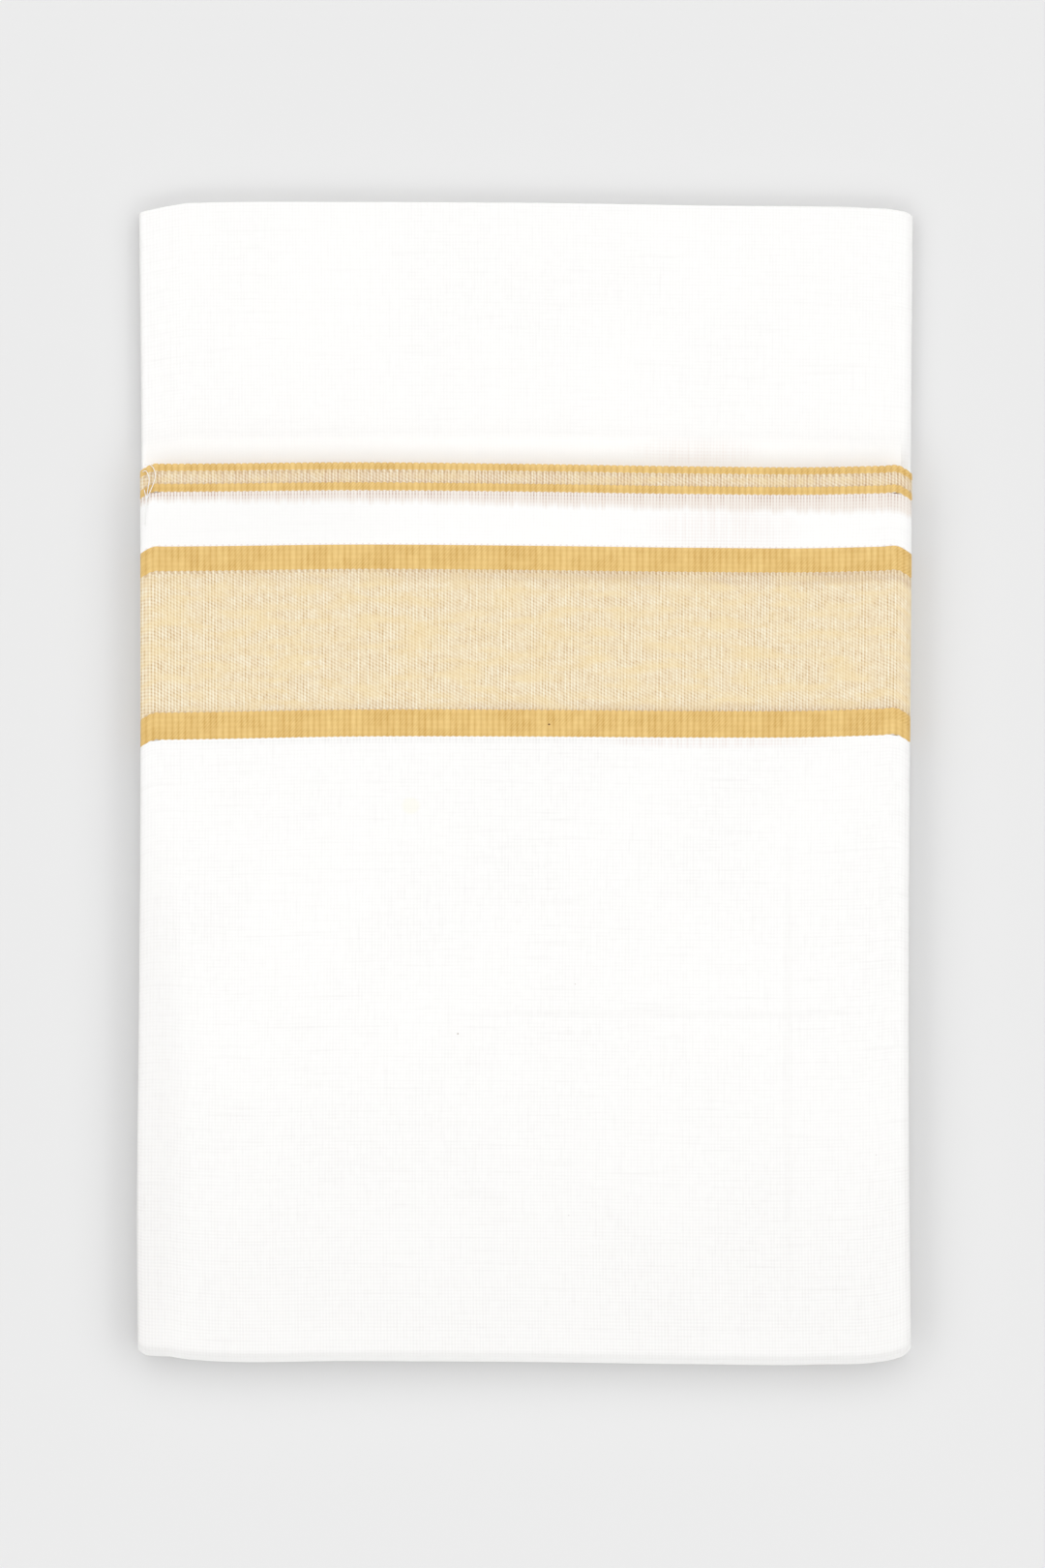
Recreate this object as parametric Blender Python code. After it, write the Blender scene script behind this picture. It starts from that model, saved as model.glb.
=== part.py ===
"""A folded dhoti: one length of white cotton with a wide and a narrow gold border along each selvedge.

The cloth is folded in half along its length, so that both selvedges lie together, and then crosswise three
times into eight panels of two plies each. The stack of panels is a strip as wide as the packet. Its lower
end is turned up over the front, so that the strip has a leaf that lies on the table, a bend at the bottom
edge and a flap, whose upper end is the selvedge.

Every solid here is made in the strip's own coordinates and is then bent with it:
  across  the distance across the packet, from the left side fold to the right one
  path    0 at the top edge, 1 where the leaf meets the bend, 2 where the bend meets the flap, 3 at the selvedge
  depth   the height in the stack of panels, 0 at the face inside the crease and LEAF at the outer face

Units are metres. +X is to the right and +Y up the packet as seen from above, +Z is up from the table, and the
origin lies on the table under the middle of the packet.
"""

from collections import namedtuple

import bpy
import numpy as np

MM = 0.001

# Sizes of the packet
WIDTH = 238.4 * MM
LEAF = 4.6 * MM  # sixteen plies pressed flat
CREASE = 0.6 * MM  # between the leaf and the flap
WALL = 1.1 * MM  # four plies: two panels
GAP = 0.3 * MM  # between neighbouring solids
FLAP = 277.0 * MM  # from the selvedge down to the bend
BEND_SQUASH = 0.85  # the bottom fold is pressed a little flatter than a half circle
FULLNESS_SWELL = 0.022  # how much the thickness of the stack varies over the packet
CORNER_THINNING = 0.05  # how much thinner the stack is pressed near its corners

# Distances down the flap from the selvedge
NARROW_END = 8.8 * MM
WIDE_START = 25.5 * MM
WIDE_END = 85.0 * MM

# Side folds
NOSE = 3.3 * MM  # how far in from the side a pressed fold begins to round
LEFT_GROUP = 2.3 * MM  # thickness of the four outer panels, which fold together at the left
LEFT_NOSE_SPAN = 1.5 * MM  # the left fold of the two inner panels
LEFT_NOSE_INSET = 0.5 * MM
TIP_ANGLE = np.radians(78)  # a nose ends here in a small blunt face
COLUMNS = np.array([114, 109, 101, 90, 72, 52, 26, 0, -28, -54, -76, -94, -104, -111]) * MM  # across every layer

SideRow = namedtuple("SideRow", "y left right")
PACKET_SIDES = (
    SideRow(y=175 * MM, left=-119.31 * MM, right=119.49 * MM),
    SideRow(y=110 * MM, left=-118.61 * MM, right=118.99 * MM),
    SideRow(y=50 * MM, left=-118.41 * MM, right=118.59 * MM),
    SideRow(y=0 * MM, left=-118.41 * MM, right=118.19 * MM),
    SideRow(y=-70 * MM, left=-118.91 * MM, right=117.89 * MM),
    SideRow(y=-140 * MM, left=-119.51 * MM, right=118.19 * MM),
    SideRow(y=-175 * MM, left=-119.21 * MM, right=118.69 * MM),
)

EdgeRow = namedtuple("EdgeRow", "x top bottom selvedge")
PACKET_EDGES = (
    EdgeRow(x=-119.2 * MM, top=175.75 * MM, bottom=-175.25 * MM, selvedge=95.95 * MM),
    EdgeRow(x=-115.0 * MM, top=176.95 * MM, bottom=-176.35 * MM, selvedge=98.15 * MM),
    EdgeRow(x=-100.0 * MM, top=178.65 * MM, bottom=-177.95 * MM, selvedge=98.25 * MM),
    EdgeRow(x=-54.0 * MM, top=179.05 * MM, bottom=-177.95 * MM, selvedge=98.65 * MM),
    EdgeRow(x=0.0 * MM, top=179.05 * MM, bottom=-178.25 * MM, selvedge=98.15 * MM),
    EdgeRow(x=53.0 * MM, top=178.25 * MM, bottom=-178.95 * MM, selvedge=97.35 * MM),
    EdgeRow(x=91.0 * MM, top=177.85 * MM, bottom=-179.05 * MM, selvedge=97.15 * MM),
    EdgeRow(x=110.0 * MM, top=177.25 * MM, bottom=-178.15 * MM, selvedge=97.55 * MM),
    EdgeRow(x=115.0 * MM, top=176.65 * MM, bottom=-177.15 * MM, selvedge=97.65 * MM),
    EdgeRow(x=119.2 * MM, top=175.35 * MM, bottom=-175.35 * MM, selvedge=95.25 * MM),
)
BORDER_TAPER = 0.013  # the borders lie this share closer together at the right side than in the middle

Section = namedtuple("Section", "across depth")  # both are grids: round the fold, through the wall

COTTON_WHITE = (0.88, 0.88, 0.87, 1.0)
COTTON_SHADED = (0.80, 0.79, 0.76, 1.0)
GOLD_WIDE = (0.80, 0.63, 0.36, 1.0)
GOLD_NARROW = (0.78, 0.58, 0.28, 1.0)
COTTON_ROUGHNESS = 0.85
GOLD_ROUGHNESS = 0.6


def curve_through(rows, key, value, at):
    """A smooth curve through one column of a table, flat beyond its ends, at an array of places."""
    rows = sorted(rows, key=lambda row: getattr(row, key))
    knots = np.array([getattr(row, key) for row in rows])
    heights = np.array([getattr(row, value) for row in rows])
    slopes = np.gradient(heights, knots)
    at = np.clip(at, knots[0], knots[-1])
    left = np.clip(np.searchsorted(knots, at, side="right") - 1, 0, len(knots) - 2)
    span = knots[left + 1] - knots[left]
    t = (at - knots[left]) / span
    rise = heights[left + 1] - heights[left]
    ease = t * t * (3 - 2 * t)
    lean = span * (slopes[left] * t * (1 - t) ** 2 - slopes[left + 1] * t * t * (1 - t))
    return heights[left] + rise * ease + lean


def fullness(x, y):
    """How full the stack is here: 1 on average, a little more or less over the packet, and less at its corners."""
    swell = np.sin(x / (31 * MM) + 0.8) * np.cos(y / (52 * MM) - 0.4)
    corner = np.clip(abs(x) / (WIDTH / 2), 0, 1) ** 6 * np.clip(abs(y) / (180 * MM), 0, 1) ** 4
    return 1 + FULLNESS_SWELL * swell - CORNER_THINNING * corner


def bend_line(x):
    """The y at which the flat leaf and flap give way to the bottom bend."""
    return curve_through(PACKET_EDGES, "x", "bottom", x) + BEND_SQUASH * (LEAF + CREASE / 2)


def flap_y(x, down):
    """The y of a point of the flap, a distance down from the selvedge. The borders keep their own widths, and
    the white cloth below them takes up what is left before the bend."""
    taper = 1 - BORDER_TAPER * (1 + x / (WIDTH / 2))
    selvedge = curve_through(PACKET_EDGES, "x", "selvedge", x)
    border_foot = selvedge - taper * WIDE_END
    rest = (down - WIDE_END) / (FLAP - WIDE_END)
    return np.where(down < WIDE_END, selvedge - taper * down, border_foot + (bend_line(x) - border_foot) * rest)


def bent(across, path, depth):
    """Takes points from the strip's own coordinates to the folded packet."""
    across, path, depth = np.broadcast_arrays(across, path, depth)
    top = curve_through(PACKET_EDGES, "x", "top", across)
    line = bend_line(across)
    leaf_y = top + (line - top) * np.clip(path, 0, 1)
    y = np.where(path <= 1, leaf_y, np.where(path >= 2, flap_y(across, FLAP * (3 - path)), line))
    full = fullness(across, y)
    turn = np.pi * (np.clip(path, 1, 2) - 1.5)
    reach = CREASE / 2 + depth
    y = y - np.where((path > 1) & (path < 2), BEND_SQUASH * reach * np.cos(turn), 0)
    z = full * (LEAF + CREASE / 2 + reach * np.sin(turn))
    left = curve_through(PACKET_SIDES, "y", "left", y)
    right = curve_through(PACKET_SIDES, "y", "right", y)
    x = left + (right - left) * (across / WIDTH + 0.5)
    return np.stack([x, y, z], axis=-1)


def leaf_path(distance):
    """The path value of a place on the leaf, a distance down from the top edge."""
    return distance / (FLAP + 80 * MM)


def flap_path(down):
    """The path value of a place on the flap, a distance down from the selvedge."""
    return 3 - down / FLAP


def outer_section(levels):
    """The outer wall: it starts inside the crease, turns round the whole stack at the right side fold, runs
    across, and ends in the nose of the four panels that fold together at the left."""
    turn = np.radians(np.array([-90, -62, -36, -12, 12, 36, 62, 90]))
    centre = WIDTH / 2 - NOSE
    outer = [centre + NOSE * np.cos(turn), LEAF / 2 * (1 + np.sin(turn))]
    inner = [centre + (NOSE - WALL) * np.cos(turn), LEAF / 2 + (LEAF / 2 - WALL) * np.sin(turn)]
    nose_start = -WIDTH / 2 + NOSE
    leg = np.append(COLUMNS, nose_start + GAP)
    tip = np.linspace(0, TIP_ANGLE, 5)
    nose_x = nose_start - NOSE * np.sin(tip)
    half = LEFT_GROUP / 2 * np.cos(tip)
    middle = LEAF - LEFT_GROUP / 2
    outer_x = np.concatenate([outer[0], leg, nose_x])
    inner_x = np.concatenate([inner[0], leg, nose_x])
    outer_depth = np.concatenate([outer[1], np.full(len(leg), LEAF), middle + half])
    inner_depth = np.concatenate([inner[1], np.full(len(leg), LEAF - WALL), middle - half])
    return through_wall(inner_x, outer_x, inner_depth, outer_depth, levels)


def inner_section(levels):
    """The two innermost panels: flat from the right side fold to their own nose at the left."""
    right = WIDTH / 2 - NOSE - GAP
    nose_start = -WIDTH / 2 + LEFT_NOSE_INSET + LEFT_NOSE_SPAN
    leg = np.concatenate([[right], COLUMNS, [nose_start]])
    tip = np.linspace(0, TIP_ANGLE, 4)[1:]
    x = np.concatenate([leg, nose_start - LEFT_NOSE_SPAN * np.sin(tip)])
    half = np.concatenate([np.full(len(leg), WALL / 2), WALL / 2 * np.cos(tip)])
    return through_wall(x, x, WALL / 2 - half, WALL / 2 + half, levels)


def through_wall(inner_x, outer_x, inner_depth, outer_depth, levels):
    """A section whose wall is divided into levels, from its inner face at 0 to its outer face at 1."""
    share = np.array(levels)
    across = inner_x[:, None] + (outer_x - inner_x)[:, None] * share
    depth = inner_depth[:, None] + (outer_depth - inner_depth)[:, None] * share
    return Section(across, depth)


LayerRow = namedtuple("LayerRow", "depth left_end top_inset selvedge_inset")
START = WALL + GAP
UNDER_NOSE = LEAF - LEFT_GROUP - GAP  # the raw ends lie below this, the folded panels above it
PAST_NOSE = NOSE + 2 * GAP
# Edges of the four hidden panels, from the crease outwards: their raw or folded left ends, the fold at the
# top edge and the selvedges in the flap. Insets deepen between two panels, so that each shows as a layer.
HIDDEN_LAYERS = (
    LayerRow(depth=START, left_end=1.9 * MM, top_inset=1.1 * MM, selvedge_inset=5.2 * MM),
    LayerRow(depth=START + 0.15 * MM, left_end=1.3 * MM, top_inset=0.4 * MM, selvedge_inset=4.3 * MM),
    LayerRow(depth=START + 0.30 * MM, left_end=2.3 * MM, top_inset=1.2 * MM, selvedge_inset=5.4 * MM),
    LayerRow(depth=START + 0.45 * MM, left_end=0.9 * MM, top_inset=0.3 * MM, selvedge_inset=3.4 * MM),
    LayerRow(depth=UNDER_NOSE - 0.05 * MM, left_end=1.4 * MM, top_inset=1.1 * MM, selvedge_inset=4.2 * MM),
    LayerRow(depth=UNDER_NOSE, left_end=PAST_NOSE, top_inset=1.2 * MM, selvedge_inset=4.6 * MM),
    LayerRow(depth=UNDER_NOSE + 0.3 * MM, left_end=PAST_NOSE, top_inset=0.6 * MM, selvedge_inset=3.8 * MM),
    LayerRow(depth=UNDER_NOSE + 0.6 * MM, left_end=PAST_NOSE, top_inset=1.3 * MM, selvedge_inset=4.8 * MM),
    LayerRow(depth=UNDER_NOSE + 0.9 * MM, left_end=PAST_NOSE, top_inset=0.3 * MM, selvedge_inset=3.1 * MM),
    LayerRow(depth=LEAF - WALL - GAP, left_end=PAST_NOSE, top_inset=1.0 * MM, selvedge_inset=3.9 * MM),
)
# The same for a wall of two panels, from its inner to its outer face
WALL_TOP_INSETS = np.array([0.9, 0.3, 0.8, 0.1, 0.7]) * MM
WALL_SELVEDGE_INSETS = np.array([4.6, 3.9, 4.4, 3.2, 4.1]) * MM
LAST_PLY_INSETS = np.array([2.7, 2.6, 2.3, 0.2, 0.0]) * MM  # only the outermost plies reach the selvedge line
FLUSH = 0.0


def hidden_section():
    """The hidden panels: stepped at the left, and rounded at the right to fit inside the outer wall's fold."""
    depth = np.array([row.depth for row in HIDDEN_LAYERS])
    left = -WIDTH / 2 + np.array([row.left_end for row in HIDDEN_LAYERS])
    half = (depth[-1] - depth[0]) / 2
    roundness = np.sqrt(np.clip(1 - ((depth - depth[0] - half) / half) ** 2, 0, 1))
    right = WIDTH / 2 - NOSE + (NOSE - WALL - GAP) * roundness
    middle = np.broadcast_to(COLUMNS[:, None], (len(COLUMNS), len(depth)))
    across = np.vstack([right, middle, left])
    return Section(across, np.broadcast_to(depth, across.shape))


def lattice_faces(counts):
    """The quads on the six sides of a box of counts[0] x counts[1] x counts[2] points, and which points they
    use, as two arrays."""
    index = np.arange(np.prod(counts)).reshape(counts)
    quads = []
    for axis in range(3):
        near, far = (np.take(index, end, axis=axis) for end in (0, -1))
        for side, flip in ((near, axis != 1), (far, axis == 1)):
            ring = [side[:-1, :-1], side[1:, :-1], side[1:, 1:], side[:-1, 1:]]
            quads.append(np.stack(ring[::-1] if flip else ring, axis=-1).reshape(-1, 4))
    used, quads = np.unique(np.concatenate(quads), return_inverse=True)
    return quads.reshape(-1, 4), used


def enclosed_volume(points, quads):
    """The volume inside a closed mesh of quads, negative if its faces point inwards."""
    a, b, c, d = (points[quads[:, corner]] for corner in range(4))
    return float((a * (np.cross(b, c) + np.cross(c, d))).sum() / 6)


def cotton(name, color, roughness):
    """A plain cloth material."""
    material = bpy.data.materials.new(name)
    material.use_nodes = True
    shader = material.node_tree.nodes["Principled BSDF"]
    shader.inputs["Base Color"].default_value = color
    shader.inputs["Roughness"].default_value = roughness
    shader.inputs["Metallic"].default_value = 0.0
    material.diffuse_color = color
    return material


def stretch(name, section, stations, start_insets, end_insets, material, holder):
    """One stretch of the folded strip as a closed solid.

    The section is carried along the path through the stations. Each level of the wall starts and ends a
    little inside the first and the last station, by its inset, so that the plies show as layers there.
    """
    path = np.repeat(np.array(stations, float)[:, None], section.depth.shape[1], axis=1)
    path[0] += np.asarray(start_insets) / FLAP
    path[-1] -= np.asarray(end_insets) / FLAP
    points = bent(section.across[:, None, :], path[None, :, :], section.depth[:, None, :])
    counts = points.shape[:3]
    quads, used = lattice_faces(counts)
    points = points.reshape(-1, 3)[used]
    if enclosed_volume(points, quads) < 0:
        quads = quads[:, ::-1]
    mesh = bpy.data.meshes.new(name)
    mesh.from_pydata(points.tolist(), [], quads.tolist())
    mesh.shade_smooth()
    mesh.set_sharp_from_angle(angle=np.radians(40))
    mesh.materials.append(material)
    piece = bpy.data.objects.new(name, mesh)
    piece.parent = holder
    bpy.context.scene.collection.objects.link(piece)
    return piece


def build():
    """Builds every stretch of the folded cloth under one empty."""
    for old in list(bpy.data.objects):
        bpy.data.objects.remove(old)
    holder = bpy.data.objects.new("folded_dhoti", None)
    bpy.context.scene.collection.objects.link(holder)

    white = cotton("cotton_white", COTTON_WHITE, COTTON_ROUGHNESS)
    shaded = cotton("cotton_layers", COTTON_SHADED, COTTON_ROUGHNESS)
    wide_gold = cotton("border_wide_gold", GOLD_WIDE, GOLD_ROUGHNESS)
    narrow_gold = cotton("border_narrow_gold", GOLD_NARROW, GOLD_ROUGHNESS)

    edge = 2.5 * MM  # the top edge rounds off within this
    lip = 4.0 * MM  # the last plies run on past the others within this
    leaf = [0, leaf_path(edge), 0.2, 0.4, 0.6, 0.8, 0.93]
    bend = list(1 + np.linspace(0, 1, 11))
    seam = GAP / 2
    flap_start = flap_path(FLAP - 6 * MM)
    layered = (0, 0.25, 0.5, 0.75, 1)
    plain = (0, 1)
    outer = outer_section(layered)
    outer_plain = outer_section(plain)
    stretch("back_cloth", outer, leaf + bend + [flap_start], WALL_TOP_INSETS, FLUSH, white, holder)
    flap_stations = [
        flap_start + GAP / FLAP,
        flap_path(220 * MM),
        flap_path(175 * MM),
        flap_path(130 * MM),
        flap_path(WIDE_END + seam),
    ]
    stretch("flap_cloth", outer_plain, flap_stations, FLUSH, FLUSH, white, holder)
    wide_stations = [
        flap_path(WIDE_END - seam),
        flap_path((WIDE_END + WIDE_START) / 2),
        flap_path(WIDE_START + seam),
    ]
    stretch("border_wide", outer_plain, wide_stations, FLUSH, FLUSH, wide_gold, holder)
    gap_stations = [flap_path(WIDE_START - seam), flap_path(NARROW_END + seam)]
    stretch("border_gap", outer_plain, gap_stations, FLUSH, FLUSH, white, holder)
    narrow_stations = [flap_path(NARROW_END - seam), flap_path(lip), flap_path(0)]
    stretch("border_narrow", outer, narrow_stations, FLUSH, LAST_PLY_INSETS, narrow_gold, holder)

    inside = leaf + bend + [flap_path(200 * MM), flap_path(130 * MM), flap_path(60 * MM), flap_path(10 * MM), 3]
    inner = inner_section(layered)
    stretch("top_cloth", inner, inside, WALL_TOP_INSETS, WALL_SELVEDGE_INSETS, white, holder)
    top_insets = [row.top_inset for row in HIDDEN_LAYERS]
    selvedge_insets = [row.selvedge_inset for row in HIDDEN_LAYERS]
    stretch("inner_layers", hidden_section(), inside, top_insets, selvedge_insets, shaded, holder)


build()
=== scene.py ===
"""A folded dhoti: one length of white cotton with a wide and a narrow gold border along each selvedge.

The cloth is folded in half along its length and then crosswise three times into eight panels of two plies
each. The stack of panels is a strip, and its lower end is turned up over the front. Every sheet here is a
thin shell that is laid out in the strip's own coordinates and then bent with it:
  across  the distance across the packet, from the left side fold to the right one
  path    0 at the top edge, 1 and 2 where the bend meets the leaf and the flap, 3 at the selvedge
  depth   the height in the stack, 0 at the face inside the crease and Packet.leaf at the outer face

Weaves are drawn in the cloth's own coordinates, which a UV map named "cloth" holds in metres: the distance
along the cloth and the distance down from its selvedge. Units are metres, +X right, +Y up the packet, +Z up.
"""

import logging
from dataclasses import dataclass
from enum import Enum
from typing import NamedTuple, Union

import bpy
import numpy as np
import numpy.typing as npt
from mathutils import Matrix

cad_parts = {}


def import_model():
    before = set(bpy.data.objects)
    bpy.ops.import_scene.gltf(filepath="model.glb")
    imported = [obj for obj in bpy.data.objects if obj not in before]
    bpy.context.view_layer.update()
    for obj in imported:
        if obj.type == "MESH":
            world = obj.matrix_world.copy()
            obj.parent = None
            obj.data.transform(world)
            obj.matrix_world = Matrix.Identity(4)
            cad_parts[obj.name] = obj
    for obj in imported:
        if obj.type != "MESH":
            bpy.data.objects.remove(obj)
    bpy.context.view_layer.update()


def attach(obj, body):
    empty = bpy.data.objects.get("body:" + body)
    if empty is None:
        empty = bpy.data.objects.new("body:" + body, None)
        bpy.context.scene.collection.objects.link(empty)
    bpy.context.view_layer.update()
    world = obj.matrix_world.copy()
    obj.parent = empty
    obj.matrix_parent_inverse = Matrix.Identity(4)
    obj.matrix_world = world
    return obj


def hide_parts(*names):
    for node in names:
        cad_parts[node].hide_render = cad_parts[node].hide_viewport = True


Grid = npt.NDArray[np.float64]
Colour = tuple[float, float, float]
Shade = Union[Colour, bpy.types.NodeSocket]
Number = Union["Field", float]
Varying = Union["Field", Grid, float]
MM = 0.001
TAU = 2 * np.pi
SHARP_FROM = np.radians(40)
log = logging.getLogger("dhoti")


class SideRow(NamedTuple):
    """Where the two side folds lie at one height of the packet."""

    y: float
    left: float
    right: float


class EdgeRow(NamedTuple):
    """Where the top fold, the bottom fold and the selvedge lie at one place across the packet."""

    x: float
    top: float
    bottom: float
    selvedge: float


PACKET_SIDES = (
    SideRow(y=175 * MM, left=-119.31 * MM, right=119.49 * MM),
    SideRow(y=110 * MM, left=-118.61 * MM, right=118.99 * MM),
    SideRow(y=50 * MM, left=-118.41 * MM, right=118.59 * MM),
    SideRow(y=0 * MM, left=-118.41 * MM, right=118.19 * MM),
    SideRow(y=-70 * MM, left=-118.91 * MM, right=117.89 * MM),
    SideRow(y=-140 * MM, left=-119.51 * MM, right=118.19 * MM),
    SideRow(y=-175 * MM, left=-119.21 * MM, right=118.69 * MM),
)
PACKET_EDGES = (
    EdgeRow(x=-119.2 * MM, top=175.75 * MM, bottom=-175.25 * MM, selvedge=95.95 * MM),
    EdgeRow(x=-117.2 * MM, top=176.45 * MM, bottom=-176.10 * MM, selvedge=97.25 * MM),
    EdgeRow(x=-115.0 * MM, top=176.95 * MM, bottom=-176.35 * MM, selvedge=98.15 * MM),
    EdgeRow(x=-112.0 * MM, top=177.65 * MM, bottom=-176.50 * MM, selvedge=98.20 * MM),
    EdgeRow(x=-108.6 * MM, top=178.15 * MM, bottom=-176.65 * MM, selvedge=98.20 * MM),
    EdgeRow(x=-105.4 * MM, top=178.80 * MM, bottom=-177.30 * MM, selvedge=98.22 * MM),
    EdgeRow(x=-100.0 * MM, top=178.95 * MM, bottom=-177.75 * MM, selvedge=98.25 * MM),
    EdgeRow(x=-54.0 * MM, top=179.05 * MM, bottom=-177.95 * MM, selvedge=98.65 * MM),
    EdgeRow(x=0.0 * MM, top=179.05 * MM, bottom=-178.25 * MM, selvedge=98.15 * MM),
    EdgeRow(x=53.0 * MM, top=178.25 * MM, bottom=-178.95 * MM, selvedge=97.35 * MM),
    EdgeRow(x=91.0 * MM, top=177.85 * MM, bottom=-179.05 * MM, selvedge=97.15 * MM),
    EdgeRow(x=110.0 * MM, top=177.25 * MM, bottom=-178.15 * MM, selvedge=97.55 * MM),
    EdgeRow(x=115.0 * MM, top=176.65 * MM, bottom=-177.15 * MM, selvedge=97.65 * MM),
    EdgeRow(x=119.2 * MM, top=175.35 * MM, bottom=-175.35 * MM, selvedge=95.25 * MM),
)


class Crease(NamedTuple):
    """A soft pressed ridge, or a trough where its height is negative, between two points of the packet."""

    start: tuple[float, float]
    end: tuple[float, float]
    width: float
    height: float


FLAP_CREASES = (
    Crease(start=(-24 * MM, -70.8 * MM), end=(110 * MM, -72.6 * MM), width=1.8 * MM, height=-0.07 * MM),
    Crease(start=(82.3 * MM, 6 * MM), end=(81.0 * MM, -172 * MM), width=1.8 * MM, height=-0.07 * MM),
    Crease(start=(-96 * MM, -94 * MM), end=(-78 * MM, -106 * MM), width=1.5 * MM, height=0.10 * MM),
    Crease(start=(-36 * MM, -8 * MM), end=(-8 * MM, -28 * MM), width=1.8 * MM, height=0.10 * MM),
    Crease(start=(-28 * MM, -112 * MM), end=(-6 * MM, -117 * MM), width=2.0 * MM, height=0.09 * MM),
    Crease(start=(-104 * MM, -150 * MM), end=(-52 * MM, -146 * MM), width=2.6 * MM, height=0.08 * MM),
)
LEAF_CREASES = (
    Crease(start=(-108 * MM, 155 * MM), end=(-36 * MM, 151 * MM), width=2.0 * MM, height=0.09 * MM),
    Crease(start=(-70 * MM, 139 * MM), end=(-26 * MM, 146 * MM), width=1.6 * MM, height=0.08 * MM),
    Crease(start=(63 * MM, 108 * MM), end=(60 * MM, 170 * MM), width=1.8 * MM, height=0.08 * MM),
)
BACK_CREASES = (
    Crease(start=(81.5 * MM, 150 * MM), end=(82.0 * MM, -160 * MM), width=1.1 * MM, height=-0.10 * MM),
    Crease(start=(-100 * MM, 64 * MM), end=(70 * MM, 60 * MM), width=1.3 * MM, height=-0.10 * MM),
    Crease(start=(-84 * MM, -38 * MM), end=(-40 * MM, -52 * MM), width=1.8 * MM, height=-0.07 * MM),
    Crease(start=(10 * MM, -96 * MM), end=(52 * MM, -88 * MM), width=2.2 * MM, height=-0.06 * MM),
)


def cubic(t: Grid, start: Grid, end: Grid, start_slope: Grid, end_slope: Grid) -> Grid:
    """A cubic between two values with a given rise at each.

    It is start + (end - start)(3t^2 - 2t^3) + start_slope t(1 - t)^2 - end_slope t^2(1 - t).

    Args:
        t: how far along, from 0 to 1.
        start, end: the values at its two ends.
        start_slope, end_slope: the rise per unit of t there.

    Returns:
        Its value at t.
    """
    ease = t * t * (3 - 2 * t)
    return start + (end - start) * ease + start_slope * t * (1 - t) ** 2 - end_slope * t * t * (1 - t)


def curve_through(rows: tuple[NamedTuple, ...], key: str, value: str, at: Grid) -> Grid:
    """A smooth curve through one column of a table, flat beyond its ends.

    Between two rows it is the cubic that meets both, with the slope that the neighbouring rows give.

    Args:
        rows: the table.
        key: the column that the curve runs along.
        value: the column that it goes through.
        at: the places to read it.

    Returns:
        The curve's value at each place.
    """
    rows = sorted(rows, key=lambda row: getattr(row, key))
    knots = np.array([getattr(row, key) for row in rows])
    heights = np.array([getattr(row, value) for row in rows])
    slopes = np.gradient(heights, knots)
    at = np.clip(at, knots[0], knots[-1])
    left = np.clip(np.searchsorted(knots, at, side="right") - 1, 0, len(knots) - 2)
    span = knots[left + 1] - knots[left]
    t = (at - knots[left]) / span
    return cubic(t, heights[left], heights[left + 1], span * slopes[left], span * slopes[left + 1])


def smooth_step(value: Grid, low: float, high: float) -> Grid:
    """0 below low, 1 above high, and 3t^2 - 2t^3 between them."""
    t = np.clip((value - low) / (high - low), 0, 1)
    return t * t * (3 - 2 * t)


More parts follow.
